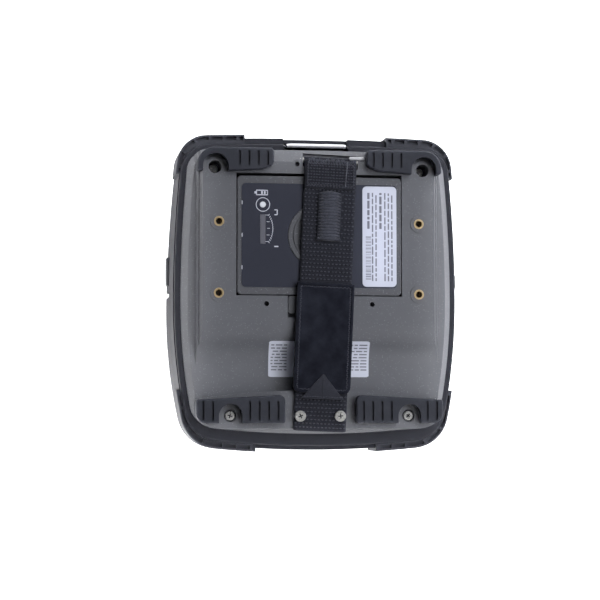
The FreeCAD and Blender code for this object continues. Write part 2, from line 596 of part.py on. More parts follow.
# ================= battery pack =================
def make_battery():
    x, y0 = BATTERY_X / 2, BATTERY_MID_Y - BATTERY_Y / 2
    y1 = y0 + BATTERY_Y
    case = rounded_box(-x, x, y0, y1, BATTERY_LOW_Z, BATTERY_HIGH_Z, 2.5)
    case = case.makeFillet(0.6, edges_in_plane(case, BATTERY_LOW_Z))
    wall = BATTERY_WALL
    room = box(-x + wall, x - wall, y0 + wall, y1 - wall, BATTERY_LOW_Z + BATTERY_FACE, BATTERY_HIGH_Z - wall)
    case = case.cut(room)
    label_seat = rounded_box(
        -OVERLAY_X / 2 - 0.2,
        OVERLAY_X / 2 + 0.2,
        BATTERY_MID_Y - OVERLAY_Y / 2 - 0.2,
        BATTERY_MID_Y + OVERLAY_Y / 2 + 0.2,
        0,
        BATTERY_LOW_Z + 0.25,
        2.5,
    )
    case = case.cut(label_seat)
    ring = cyl_z(RING_R, BATTERY_LOW_Z - RING_PROUD, BATTERY_LOW_Z + 1, 0, BATTERY_MID_Y)
    case = fuse([case, ring.makeFillet(0.5, edges_in_plane(ring, BATTERY_LOW_Z - RING_PROUD))])
    groove = cyl_z(RING_R - 2.7, 0, BATTERY_LOW_Z + 0.2, 0, BATTERY_MID_Y)
    groove = groove.cut(cyl_z(RING_R - 3.5, 0, 9, 0, BATTERY_MID_Y))
    recess = cyl_z(RING_R - RING_WIDTH, 0, BATTERY_LOW_Z + RING_RECESS, 0, BATTERY_MID_Y)
    slot_half = LATCH_HALF_X - 5
    slot = box(-slot_half, slot_half, y0 - 1, y0 + 1.4, PLATEAU_Z + 0.6, PLATEAU_Z + LATCH_THICK)
    for tool in (groove, recess, slot):
        case = case.cut(tool)
    case = case.cut(cyl_z(GAUGE_BUTTON_R + 0.1, 0, 12, GAUGE_X, GAUGE_Y))
    return case.cut(gauge_bar(0.1, 0, 12))


def gauge_bar(gap, z0, z1):
    half_x, half_y = GAUGE_BAR_X / 2 + gap, GAUGE_BAR_Y / 2 + gap
    return box(
        GAUGE_X - half_x, GAUGE_X + half_x, GAUGE_BAR_MID_Y - half_y, GAUGE_BAR_MID_Y + half_y, z0, z1
    )


def make_overlay():
    z0, z1 = BATTERY_LOW_Z - 0.05, BATTERY_LOW_Z + 0.25
    sheet = rounded_box(
        -OVERLAY_X / 2,
        OVERLAY_X / 2,
        BATTERY_MID_Y - OVERLAY_Y / 2,
        BATTERY_MID_Y + OVERLAY_Y / 2,
        z0,
        z1,
        2.5,
    )
    sheet = sheet.cut(cyl_z(RING_R + 0.2, 0, 9, 0, BATTERY_MID_Y))
    sheet = sheet.cut(cyl_z(GAUGE_BUTTON_R + 0.15, 0, 9, GAUGE_X, GAUGE_Y))
    return sheet.cut(gauge_bar(0.15, 0, 9))


def make_battery_inside():
    cells = []
    z = BATTERY_LOW_Z + BATTERY_FACE + 0.1 + CELL_R
    for n in range(CELL_COUNT):
        x = CELL_LEFT_X + n * (2 * CELL_R + 0.4)
        cells.append(cyl_y(CELL_R, BATTERY_MID_Y - CELL_LENGTH / 2, BATTERY_MID_Y + CELL_LENGTH / 2, x, z))
    board = box(GAUGE_X - 7, GAUGE_X + 12, BATTERY_MID_Y - 28, BATTERY_MID_Y + 30, 12.4, 14.0)
    button = cyl_z(GAUGE_BUTTON_R, BATTERY_LOW_Z - 0.25, 11.4, GAUGE_X, GAUGE_Y)
    button = fuse([button, cyl_z(GAUGE_BUTTON_R + 1.0, 8.6, 10.0, GAUGE_X, GAUGE_Y)])
    window = gauge_bar(0.0, BATTERY_LOW_Z - 0.05, BATTERY_LOW_Z + 2.4)
    blades = []
    for n in range(4):
        x = -30.0 + 7.0 * n
        blades.append(box(x, x + 3.0, BAY_FAR_Y - 16.0, BAY_FAR_Y - 6.0, BATTERY_HIGH_Z + 0.05, BAY_ROOF_Z))
    return Part.makeCompound(cells), board, button, window, Part.makeCompound(blades)


def make_latch():
    z0, z1 = PLATEAU_Z - 0.1, PLATEAU_Z + LATCH_THICK
    tongue = rounded_box(-LATCH_HALF_X, LATCH_HALF_X, LATCH_NEAR_Y, LATCH_FAR_Y, z0, z1, 1.6)
    nose_half = LATCH_HALF_X - 5.4
    nose = box(-nose_half, nose_half, LATCH_FAR_Y - 1, BAY_NEAR_Y + BAY_GAP + 0.8, PLATEAU_Z + 0.9, z1 - 0.3)
    tongue = fuse([tongue, nose])
    for k in range(3):
        y = LATCH_NEAR_Y + 2.2 + 1.8 * k
        tongue = tongue.cut(box(-12, 12, y, y + 0.8, 0, z0 + 0.5))
    pocket_y = LATCH_NEAR_Y - LATCH_GAP - LATCH_TRAVEL
    springs = []
    for x in (-8.0, 8.0):
        coil = ring_y(LATCH_SPRING_R, LATCH_SPRING_R - 0.35, pocket_y, LATCH_NEAR_Y + 5.9, x, z0 + 1.4)
        tongue = tongue.cut(cyl_y(LATCH_SPRING_R + 0.1, pocket_y, LATCH_NEAR_Y + 6.0, x, z0 + 1.4))
        springs.append(coil)
    return tongue, Part.makeCompound(springs)


# ================= front case =================
def case_profile(offset):
    """Side view of the front case: low rim round the roll bay, tilted control panel, moved inwards."""
    slope = math.tan(math.radians(PANEL_TILT))
    face_y, top = PANEL_EDGE_Y + offset, PANEL_EDGE_Z - offset
    far = REACH
    points = [
        (-REACH, CASE_LOW_Z - 1.0),
        (far, CASE_LOW_Z - 1.0),
        (far, top - (far - face_y) * slope),
        (face_y, top),
        (face_y, LID_SEAM_Z),
        (-REACH, LID_SEAM_Z),
    ]
    return side_prism(points, -REACH, REACH)


def make_front_case():
    outer = outline_prism(0.0, CASE_LOW_Z, PANEL_EDGE_Z + 5).common(case_profile(0.0))
    top_edges = [
        e for e in outer.Edges
        if e.BoundBox.ZMin > LID_SEAM_Z + 8 and e.BoundBox.YMax > PANEL_EDGE_Y + 0.1
    ]
    outer = outer.makeFillet(CASE_TOP_R, top_edges)
    roof = case_profile(PANEL_THICK)
    inner = outline_prism(WALL, CASE_LOW_Z - 1, PANEL_EDGE_Z + 5).common(roof)
    bay_mouth = outline_prism(WALL, LID_SEAM_Z - 8, LID_SEAM_Z + 5).common(box(-REACH, REACH, -REACH, 2.0, 0, REACH))
    shell = outer.cut(inner).cut(bay_mouth)
    bead = outline_prism(BEAD_INSET, BEAD_Z, CASE_LOW_Z + 1, BEAD_FAR_INSET, BEAD_NEAR_INSET)
    bead = bead.makeFillet(BEAD_R, edges_in_plane(bead, BEAD_Z))
    rim = fuse([outline_prism(0.0, CASE_LOW_Z, SEAM_Z + 2.4), bead])
    gap = 0.1
    rim = rim.cut(
        outline_prism(COVER_INSET - gap, 0, SEAM_Z + 0.1, COVER_FAR_INSET - gap, COVER_NEAR_INSET - gap)
    )
    rim = rim.cut(
        outline_prism(COVER_INSET + 1.2, 0, SEAM_Z + 9, COVER_FAR_INSET + 1.2, COVER_NEAR_INSET + 1.2)
    )
    throat = box(-64.6, 60.0, 0.0, PANEL_EDGE_Y + WALL + 1, LID_SEAM_Z - 20, PANEL_EDGE_Z - PANEL_THICK - 0.4)
    gear_gate = box(60.0, GEAR_X + 12, 0.0, PANEL_EDGE_Y + WALL + 1, LID_SEAM_Z - 20, PANEL_EDGE_Z - 4.5)
    posts = [cyl_z(4.4, SEAM_Z + 0.1, 66.0, x, y) for x, y in corners(WELL_X, WELL_Y)]
    tub_space = cyl_x(TUB_R + TUB_WALL + 0.4, -REACH, REACH, ROLL_Y, ROLL_Z)
    for x, y in corners(SCREW_X, SCREW_Y):
        posts.append(cyl_z(4.4, SEAM_Z + 0.1, 30.0, x, y).cut(tub_space))
        posts.append(box(x - 1.2, x + 1.2, NEAR_MID_Y + 3.5, y, SEAM_Z + 0.1, 30.0))
    lugs = []
    for sign in (-1, 1):
        x0, x1 = sorted((sign * LUG_IN_X, sign * LUG_OUT_X))
        lugs.append(cyl_x(HINGE_R - 0.6, x0, x1, HINGE_Y, HINGE_Z))
        lugs.append(box(x0, x1, HINGE_Y - 4.4, HINGE_Y + 4.4, LID_SEAM_Z - 12.0, HINGE_Z))
    case = fuse([shell, rim] + posts + lugs)
    holes = [throat, gear_gate]
    holes.append(cyl_x(HINGE_PIN_R + 0.03, -60, 60, HINGE_Y, HINGE_Z))
    holes += [cyl_z(SCREW_SHANK_R, 0, 40, x, y) for x, y in corners(WELL_X, WELL_Y)]
    holes += [cyl_z(SCREW_SHANK_R, 0, 31, x, y) for x, y in corners(SCREW_X, SCREW_Y)]
    holes.append(port_opening(0.0))
    holes.append(release_block(0.35, 12.0, -10.0))
    face_x = side_x(RELEASE_Y, 0.0)
    catch_end = PANEL_EDGE_Y + WALL + 2
    holes.append(box(face_x - 11.0, face_x - 3.0, 0.0, catch_end, RELEASE_Z - 3.2, RELEASE_Z + 3.2))
    holes.append(lens_block(0.15, -LENS_T, 4.0))
    sight_x, sight_y = LENS_X / 2 - 5, LENS_Y / 2 - 4
    holes.append(on_panel(box(-sight_x, sight_x, LENS_MID - sight_y, LENS_MID + sight_y, -9, 4)))
    for x, y, width, length in KEYS.values():
        holes.append(key_block(x, y, width + 2 * KEY_GAP, length + 2 * KEY_GAP, -12, 4))
    recess = box(-BAIL_RECESS_X, BAIL_RECESS_X, 89.9, 105, 0, BAIL_PIVOT_Z + 3.6)
    holes.append(recess)
    holes.append(cyl_x(BAIL_WIRE_R + 0.08, -24.0, 24.0, BAIL_PIVOT_Y, BAIL_PIVOT_Z))
    for hole in holes:
        case = case.cut(hole)
    return case


def lens_block(gap, z0, z1):
    half_x, half_y = LENS_X / 2 + gap, LENS_Y / 2 + gap
    return on_panel(rounded_box(-half_x, half_x, LENS_MID - half_y, LENS_MID + half_y, z0, z1, 3.0))


def key_block(x, y, width, length, z0, z1):
    return on_panel(rounded_box(x - width / 2, x + width / 2, y - length / 2, y + length / 2, z0, z1, 2.4))


def make_key(x, y, width, length):
    low = KEY_PROUD - KEY_HEIGHT
    cap = rounded_box(x - width / 2, x + width / 2, y - length / 2, y + length / 2, low, KEY_PROUD, 2.4)
    return on_panel(cap.makeFillet(0.6, edges_in_plane(cap, KEY_PROUD)))


def make_panel_parts():
    lens = lens_block(0.0, -LENS_T + 0.05, 0.0)
    half_x, half_y = LENS_X / 2 - 3, LENS_Y / 2 - 2
    module = on_panel(box(-half_x, half_x, LENS_MID - half_y, LENS_MID + half_y, -9.0, -PANEL_THICK - 0.1))
    pad_z = KEY_PROUD - KEY_HEIGHT - KEY_TRAVEL - 0.4
    keypad = on_panel(box(-60, 60, KEY_ROW - 7.5, KEY_ROW + 7.5, pad_z - 1.6, pad_z))
    return lens, module, keypad


# ================= side parts =================
def port_opening(gap):
    near, far = PORT_TIP_Y + 8 + gap, PORT_HINGE_Y - 10 - gap
    return box(-REACH, -PORT_HINGE_X + 7.4, near, far, PORT_LOW_Z + 2.5 + gap, PORT_HIGH_Z - 2.5 - gap)


def make_port_cover():
    band = outline_prism(-LOBE_PROUD, PORT_LOW_Z, PORT_HIGH_Z, 0.0, 0.0).cut(
        outline_prism(-0.15, PORT_LOW_Z - 1, PORT_HIGH_Z + 1)
    )
    flap = band.common(box(-REACH, 0, PORT_TIP_Y, PORT_HINGE_Y, PORT_LOW_Z, PORT_HIGH_Z))
    plug_depth = 2.2
    plug_band = outline_prism(-0.5, 0, 60).cut(outline_prism(plug_depth, 0, 60))
    plug = plug_band.common(port_opening(0.6))
    barrel = cyl_z(PORT_BARREL_R, PORT_LOW_Z, PORT_HIGH_Z, -PORT_HINGE_X, PORT_HINGE_Y + 0.3)
    tab = outline_prism(-PORT_TAB_PROUD, PORT_LOW_Z + 3, PORT_HIGH_Z - 3, 0.0, 0.0)
    tab = tab.cut(outline_prism(-1.0, 0, 90)).common(box(-REACH, 0, PORT_TIP_Y, PORT_TIP_Y + 9, 0, 90))
    outer_corners = [e for e in upright_edges(tab) if e.BoundBox.XMax < -BODY_HALF_WIDTH - LOBE_PROUD]
    tab = tab.makeFillet(1.0, outer_corners)
    return fuse([flap, plug, barrel, tab])


def release_block(gap, out, in_depth):
    x0 = side_x(RELEASE_Y, 0.0) + in_depth
    return box(
        x0,
        x0 - in_depth + out,
        RELEASE_Y - RELEASE_LENGTH / 2 - gap,
        RELEASE_Y + RELEASE_LENGTH / 2 + gap,
        RELEASE_Z - RELEASE_HEIGHT / 2 - gap,
        RELEASE_Z + RELEASE_HEIGHT / 2 + gap,
    )


def make_release():
    face_x = side_x(RELEASE_Y, 0.0)
    cap = release_block(0.0, 1.6, -6.0)
    cap = cap.makeFillet(0.8, [e for e in cap.Edges if e.BoundBox.XMin > face_x + 1.5])
    arm = box(face_x - 8.0, face_x - 5.5, 0.3, RELEASE_Y + 6.0, RELEASE_Z - 2.5, RELEASE_Z + 2.5)
    button = fuse([cap, arm])
    spring = ring_x(2.6, 1.9, CHEEK_PLATE_X + CHEEK_PLATE_T, face_x - 8.0, FRAME_Y - 1.0, RELEASE_Z)
    return button, spring


def make_ports():
    edge = -side_x(40.0, WALL) + 2.5
    shells = [
        box(edge, edge + 12, 17.0, 32.0, 34.0, 41.0),
        box(edge, edge + 11, 36.0, 45.0, 34.0, 40.0),
        box(edge, edge + 9, 48.0, 57.0, 34.0, 42.0),
    ]
    sockets = [
        box(edge - 1, edge + 8, 18.0, 31.0, 35.2, 39.8),
        box(edge - 1, edge + 8, 37.0, 44.0, 35.2, 38.8),
        cyl_x(2.8, edge - 1, edge + 7, 52.5, 38.0),
    ]
    return Part.makeCompound([shell.cut(socket) for shell, socket in zip(shells, sockets)])


def make_bail():
    """A wire loop: two pivot ends, two legs and a straight bar, joined by bends."""
    y, top, low = BAIL_PIVOT_Y, BAIL_PIVOT_Z, BAIL_PIVOT_Z - BAIL_LEG
    x, end = BAIL_HALF_X, BAIL_HALF_X + BAIL_STUB
    corner_points = [(-end, top), (-x, top), (-x, low), (x, low), (x, top), (end, top)]
    bends = [BAIL_PIVOT_BEND, BAIL_BEND, BAIL_BEND, BAIL_PIVOT_BEND]
    points = [V(px, y, pz) for px, pz in corner_points]
    edges = []
    start = points[0]
    for k, bend in enumerate(bends):
        before, here, after = points[k], points[k + 1], points[k + 2]
        back, ahead = (before - here).normalize(), (after - here).normalize()
        first, last = here + back * bend, here + ahead * bend
        middle = here + (back + ahead) * (bend * (1 - math.sqrt(0.5)))
        edges += [Part.makeLine(start, first), Part.Arc(first, middle, last).toShape()]
        start = last
    edges.append(Part.makeLine(start, points[-1]))
    profile = Part.Wire([Part.makeCircle(BAIL_WIRE_R, points[0], V(1, 0, 0))])
    return Part.Wire(edges).makePipeShell([profile], True, False)


# ================= corner bumpers =================
def corner_zone(far):
    inner_x = LOBE_FAR_X if far else LOBE_NEAR_X
    y0, y1 = (LOBE_FAR_Y, REACH) if far else (-REACH, LOBE_NEAR_Y)
    return Part.makeCompound([box(-REACH, -inner_x, y0, y1, 0, 90), box(inner_x, REACH, y0, y1, 0, 90)])


def make_bumper(far):
    """Rubber lobes over two corners. Their lower faces have a row of slots between short ribs."""
    skin = outline_prism(-LOBE_PROUD, LOBE_LOW_Z, LOBE_HIGH_Z)
    skin = skin.makeFillet(1.4, edges_in_plane(skin, LOBE_LOW_Z) + edges_in_plane(skin, LOBE_HIGH_Z))
    skin = skin.cut(outline_prism(-0.05, CASE_LOW_Z - 0.05, LOBE_HIGH_Z + 1))
    gap = 0.15
    skin = skin.cut(
        outline_prism(BEAD_INSET - gap, 0, LOBE_HIGH_Z, BEAD_FAR_INSET - gap, BEAD_NEAR_INSET - gap)
    )
    lobes = skin.common(corner_zone(far))
    slot_out = 1.3 - LOBE_PROUD
    ring = outline_prism(slot_out, 0, LOBE_LOW_Z + 2.0).cut(outline_prism(slot_out + 2.2, 0, 60))
    end_y = FAR_MID_Y - FAR_BOW if far else NEAR_MID_Y + NEAR_BOW
    radius = FAR_CORNER_R if far else NEAR_CORNER_R
    sign = 1 if far else -1
    centre_x = side_x(end_y, 0.0) - radius
    centre_y = end_y - sign * radius
    pitch = 8.6
    step = math.degrees(pitch / radius)
    start_x = LOBE_FAR_X if far else LOBE_NEAR_X
    keep = []
    for side in (-1, 1):
        cx = side * centre_x
        count = int(90 / step) + 1
        for n in range(count):
            rib = box(radius - 5, radius + 5, -0.95, 0.95, 0, 60)
            rib.rotate(V(0, 0, 0), V(0, 0, 1), n * 90 / (count - 1))
            if side < 0:
                rib = rib.mirror(V(0, 0, 0), V(1, 0, 0))
            if not far:
                rib = rib.mirror(V(0, 0, 0), V(0, 1, 0))
            rib.translate(V(cx, centre_y, 0))
            keep.append(rib)
        runs = int((centre_x - start_x) / pitch)
        for n in range(1, runs + 1):
            x = cx - side * n * pitch
            keep.append(box(x - 0.95, x + 0.95, end_y - 8, end_y + 8, 0, 60))
        x0, x1 = sorted((side * start_x, side * (start_x + 1.0)))
        keep.append(box(x0, x1, -REACH, REACH, 0, 60))
        y_end = LOBE_FAR_Y + 2 if far else LOBE_NEAR_Y - 2
        y_rows = int(abs(centre_y - y_end) / pitch)
        for n in range(1, y_rows + 1):
            y = centre_y - sign * n * pitch
            x0, x1 = sorted((side * 70, side * REACH))
            keep.append(box(x0, x1, y - 0.95, y + 0.95, 0, 60))
    slots = ring
    for rib in keep:
        slots = slots.cut(rib)
    edge = corner_zone(far)
    y0, y1 = (LOBE_FAR_Y + 1.6, 130) if far else (-130, LOBE_NEAR_Y - 1.6)
    slots = slots.common(edge).common(box(-REACH, REACH, y0, y1, 0, 60))
    return lobes.cut(slots).cut(fuse([cover_slab(0.0), cover_block(0.0)]))


# ================= media bay =================
def guide_arm(x0, x1, gap):
    """The arm from the roll's axis down to the rack, as a prism along X."""
    y_in, y_out = PINION_Y - 8.0, PINION_Y + 8.0
    low, high = RACK_LOW_Z, RACK_HIGH_Z
    points = [
        (ROLL_Y - 6, ROLL_Z - 14 - gap),
        (y_in - gap, high - 1.0 - gap),
        (y_in - gap, low - gap),
        (y_out + gap, low - gap),
        (y_out + gap, high + gap),
        (ROLL_Y + 14, ROLL_Z + gap),
    ]
    return side_prism(points, x0, x1)


def make_tub():
    """The tub under the roll: trough, end walls, deck, and the shelf for the guide racks."""
    half, wall = TUB_HALF_X, TUB_WALL
    trough = cyl_x(TUB_R + wall, -half, half, ROLL_Y, ROLL_Z)
    trough = trough.cut(cyl_x(TUB_R, -half + wall, half - wall, ROLL_Y, ROLL_Z))
    trough = trough.common(box(-half, half, -REACH, 50, 0, TUB_TOP_Z))
    deck = outline_prism(WALL + 0.2, TUB_TOP_Z - wall, TUB_TOP_Z, near_inset=12.0)
    deck = deck.common(fuse([box(-REACH, REACH, -REACH, ROLL_Y + 26, 0, 90), box(-half, half, -REACH, -1.5, 0, 90)]))
    deck = deck.cut(cyl_x(TUB_R + 0.5, -half + wall, half - wall, ROLL_Y, ROLL_Z))
    deck = deck.cut(box(-half + wall, half - wall, ROLL_Y - 29, ROLL_Y + 29, 40, 60))
    shelf = box(-half, half, PINION_Y - 10, BAY_NEAR_Y - BAY_WALL - 0.5, RACK_LOW_Z - 2.6, RACK_LOW_Z - 0.4)
    back_y = BAY_NEAR_Y - BAY_WALL - 0.5
    back = box(-half, half, back_y - 2.0, back_y, RACK_LOW_Z - 2.6, TUB_TOP_Z)
    post = cyl_z(1.5, RACK_LOW_Z - 1, RACK_HIGH_Z + 1.2, 0, PINION_Y)
    reach = box(-half, half, PINION_Y - 22, PINION_Y - 9.5, RACK_LOW_Z - 2.6, RACK_LOW_Z - 0.6)
    reach = reach.cut(cyl_x(TUB_R, -70, 70, ROLL_Y, ROLL_Z))
    tub = fuse([trough, deck, shelf, back, reach, post])
    slot_x0, slot_x1 = ROLL_HALF_X - 1.0, ROLL_HALF_X + GUIDE_GAP + GUIDE_THICK + GUIDE_TRAVEL + 1.0
    for slot in mirrored(guide_arm(slot_x0, slot_x1, 0.8)):
        tub = tub.cut(slot)
    return fuse([tub, shelf, post])


def rack(x0, x1, facing):
    """A rack bar between x0 and x1. Its teeth point to y = 0 from the facing side, a gap centred at x = 0."""
    pitch = math.pi * RACK_MODULE
    pitch_y = PINION_TEETH * RACK_MODULE / 2
    tip, root = pitch_y - 0.85 * RACK_MODULE, pitch_y + 1.25 * RACK_MODULE
    back = pitch_y + RACK_BACK
    quarter = pitch / 4 - 0.06
    lean = math.tan(math.radians(20.0)) * RACK_MODULE
    first, last = math.ceil(x0 / pitch + 0.5), math.floor(x1 / pitch - 0.5)
    points = [(x0, back), (x0, root)]
    for n in range(first, last):
        mid = (n + 0.5) * pitch
        points += [(mid - quarter - lean * 1.2, root), (mid - quarter + lean * 0.8, tip)]
        points += [(mid + quarter - lean * 0.8, tip), (mid + quarter + lean * 1.2, root)]
    points += [(x1, root), (x1, back)]
    bar = plan_prism([(x, facing * y) for x, y in points], RACK_LOW_Z, RACK_HIGH_Z)
    bar.translate(V(0, PINION_Y, 0))
    return bar


def make_guide(side):
    """One media guide: disc and hub at the roll's end, arm and rack. side is 1 or -1 along X."""
    inner = ROLL_HALF_X + GUIDE_GAP
    outer = inner + GUIDE_THICK
    disc = cyl_x(GUIDE_DISC_R, inner, outer, ROLL_Y, ROLL_Z)
    hub = cyl_x(HUB_R, inner - HUB_LENGTH, inner + 1, ROLL_Y, ROLL_Z)
    hub = hub.cut(cyl_x(HUB_R - 2.4, inner - HUB_LENGTH - 1, inner - 0.5, ROLL_Y, ROLL_Z))
    pieces = [disc, hub, guide_arm(inner, outer, 0.0)]
    if side < 0:
        pieces = [piece.mirror(V(0, 0, 0), V(1, 0, 0)) for piece in pieces]
    tail = GUIDE_TRAVEL + 6.0
    x0, x1 = sorted((-side * tail, side * (inner + 1.0)))
    return fuse(pieces + [rack(x0, x1, side)])


def make_pinion():
    wheel = gear(PINION_TEETH, RACK_MODULE, RACK_HIGH_Z - RACK_LOW_Z - 0.4, 1.55, backlash=0.14, turn=90.0)
    wheel.translate(V(0, PINION_Y, RACK_LOW_Z + 0.2))
    return wheel


def make_roll():
    core = ring_x(CORE_R, CORE_BORE_R, -ROLL_HALF_X, ROLL_HALF_X, ROLL_Y, ROLL_Z)
    roll = ring_x(ROLL_R, CORE_R + 0.02, -ROLL_HALF_X, ROLL_HALF_X, ROLL_Y, ROLL_Z)
    return core, roll


# ================= print mechanism =================
IDLER_DIST = GEAR_MODULE * (PLATEN_TEETH + IDLER_TEETH) / 2
IDLER_Y = PLATEN_Y + IDLER_DIST * math.sin(math.radians(IDLER_LEAN))
IDLER_Z = PLATEN_Z - IDLER_DIST * math.cos(math.radians(IDLER_LEAN))
MOTOR_DIST = GEAR_MODULE * (IDLER_TEETH + MOTOR_TEETH) / 2
MOTOR_Y = IDLER_Y + MOTOR_DIST * math.cos(math.radians(MOTOR_RISE))
MOTOR_Z = IDLER_Z + MOTOR_DIST * math.sin(math.radians(MOTOR_RISE))


def make_gears():
    down = -90.0 + IDLER_LEAN
    platen = gear_x(PLATEN_TEETH, GEAR_X, PLATEN_Y, PLATEN_Z, SHAFT_R + 0.01, down)
    idler_turn = down + 180.0 - 180.0 / IDLER_TEETH
    idler = gear_x(IDLER_TEETH, GEAR_X, IDLER_Y, IDLER_Z, IDLER_SHAFT_R + 0.05, idler_turn)
    pitch = 360.0 / IDLER_TEETH
    tooth_off = (MOTOR_RISE - idler_turn) % pitch  # how far past an idler tooth the line of centres is
    motor_turn = MOTOR_RISE + 180.0 - 180.0 / MOTOR_TEETH + tooth_off * IDLER_TEETH / MOTOR_TEETH
    motor = gear_x(MOTOR_TEETH, GEAR_X, MOTOR_Y, MOTOR_Z, 0, motor_turn)
    shaft = cyl_x(2.0, CHEEK_PLATE_X - 2.0, GEAR_X + 0.5, MOTOR_Y, MOTOR_Z)
    return platen, idler, fuse([motor, shaft])


def make_platen():
    roller = ring_x(PLATEN_R, SHAFT_R + 0.01, -PLATEN_HALF_X, PLATEN_HALF_X, PLATEN_Y, PLATEN_Z)
    shaft = cyl_x(SHAFT_R, -CHEEK_X - CHEEK_THICK, GEAR_X + GEAR_FACE + 0.6, PLATEN_Y, PLATEN_Z)
    bushes = [
        ring_x(BUSH_R, SHAFT_R + 0.04, CHEEK_X - 0.4, CHEEK_X + CHEEK_THICK, PLATEN_Y, PLATEN_Z),
        ring_x(BUSH_R, SHAFT_R + 0.04, -CHEEK_X - CHEEK_THICK, -CHEEK_X + 0.4, PLATEN_Y, PLATEN_Z),
    ]
    return roller, shaft, Part.makeCompound(bushes)


HEAD_Y = PLATEN_Y + PLATEN_R + HEAD_GAP


def make_head():
    head = box(-HEAD_HALF_X, HEAD_HALF_X, HEAD_Y, HEAD_Y + 2.2, PLATEN_Z - 8, PLATEN_Z + 6.5)
    sink = box(-HEAD_HALF_X + 4, HEAD_HALF_X - 4, HEAD_Y + 2.25, HEAD_Y + 7.6, PLATEN_Z - 9, PLATEN_Z + 6.0)
    for n in range(9):
        x = -44.0 + 11.0 * n
        sink = sink.cut(box(x - 2.5, x + 2.5, HEAD_Y + 4.2, HEAD_Y + 9, 0, 90))
    springs = [ring_y(2.8, 2.0, HEAD_Y + 7.7, FRAME_Y - 0.05, x, PLATEN_Z - 2) for x in (-38.5, -5.5, 27.5)]
    top = PANEL_EDGE_Z + 0.4
    bar_y0, bar_y1 = HEAD_Y + 0.2, PANEL_EDGE_Y - 0.05
    bar = box(-HEAD_HALF_X, HEAD_HALF_X, bar_y0, bar_y1, PLATEN_Z + 6.8, top)
    count, pitch = 72, 1.5
    teeth = []
    for n in range(count):
        x = (n - count / 2) * pitch
        ridge = [(x, 1), (x + pitch, 1), (x + pitch / 2, -1), (x, 1)]
        wedge = Part.makePolygon([V(at_x, bar_y0 - 1, top + rise) for at_x, rise in ridge])
        teeth.append(Part.Face(wedge).extrude(V(0, 4, 0)))
    bar = bar.cut(Part.makeCompound(teeth))
    return head, sink, Part.makeCompound(springs), bar


def ring_y(r_out, r_in, y0, y1, x, z):
    return cyl_y(r_out, y0, y1, x, z).cut(cyl_y(r_in, y0 - 1, y1 + 1, x, z))


FRAME_Y = 14.0


def make_frame():
    """The sheet-metal bracket that holds the head springs, the motor and the idler's stub shaft."""
    low, high = 36.0, 60.0
    plate = box(-62.0, CHEEK_PLATE_X - MOTOR_LENGTH - 4, FRAME_Y, FRAME_Y + 2.0, 40.0, 72.0)
    left = box(-64.0, -62.0, 0.2, FRAME_Y + 2.0, 54.5, 72.0)
    bridge_x = CHEEK_PLATE_X - MOTOR_LENGTH - 4
    plate_out = CHEEK_PLATE_X + CHEEK_PLATE_T
    bridge = box(bridge_x - 2, plate_out, FRAME_Y, FRAME_Y + 2.0, MOTOR_Z + MOTOR_R + 1, 72.0)
    cheek = box(CHEEK_PLATE_X, CHEEK_PLATE_X + CHEEK_PLATE_T, -10.0, 30.0, low, high)
    neck = box(CHEEK_PLATE_X, CHEEK_PLATE_X + CHEEK_PLATE_T, FRAME_Y - 4, FRAME_Y + 2.0, high - 2, 72.0)
    stub = cyl_x(IDLER_SHAFT_R, CHEEK_PLATE_X + 1, GEAR_X + GEAR_FACE + 0.8, IDLER_Y, IDLER_Z)
    frame = fuse([plate, left, bridge, cheek, neck, stub])
    return frame.cut(cyl_x(3.0, CHEEK_PLATE_X - 1, CHEEK_PLATE_X + 4, MOTOR_Y, MOTOR_Z))


def make_motor():
    can = cyl_x(MOTOR_R, CHEEK_PLATE_X - MOTOR_LENGTH, CHEEK_PLATE_X - 0.05, MOTOR_Y, MOTOR_Z)
    return can.cut(cyl_x(2.1, CHEEK_PLATE_X - 8, CHEEK_PLATE_X + 1, MOTOR_Y, MOTOR_Z))


def make_boards():
    z = BAY_ROOF_Z + BAY_WALL + 1.2
    board = box(-70.0, 70.0, 34.0, 88.0, z, z + 1.6)
    for x, y in corners(WELL_X, WELL_Y):
        board = board.cut(cyl_z(6.5, 0, 90, x, y))
    chips = [box(-40, -26, 50, 64, z + 1.6, z + 3.6), box(-10, 8, 48, 66, z + 1.6, z + 3.2)]
    chips += [cyl_z(4.0, z + 1.6, z + 12.0, 24.0 + 10.0 * k, 76.0) for k in range(3)]
    sensor = box(-6, 6, -14.0, -7.0, TUB_TOP_Z + 0.05, TUB_TOP_Z + 4.0)
    return fuse([board] + chips), sensor


# ================= lid =================
def lid_outer(offset):
    """The closed lid as a solid block with a domed top, moved inwards by offset."""
    near = HINGE_Y - HINGE_R + offset
    free = LID_EDGE_Y - offset
    top_mid, top_free = CROWN_Z - offset, PANEL_EDGE_Z + 0.2 - offset
    low = LID_SEAM_Z + LID_GAP
    shoulder_y, shoulder_z = near + 12.0, CROWN_Z - 5.0 - offset

    def at(y, z):
        return V(-REACH, y, z)

    edges = [
        Part.makeLine(at(near, low), at(near, 67.0)),
        Part.Arc(at(near, 67.0), at(near + 3.4, 73.6 - offset * 0.7), at(shoulder_y, shoulder_z)).toShape(),
        Part.Arc(at(shoulder_y, shoulder_z), at(-46.0, top_mid), at(free, top_free)).toShape(),
        Part.makeLine(at(free, top_free), at(free, low)),
        Part.makeLine(at(free, low), at(near, low)),
    ]
    dome = Part.Face(Part.Wire(edges)).extrude(V(2 * REACH, 0, 0))
    return outline_prism(offset, low - 1, 95, near_inset=offset).common(dome)


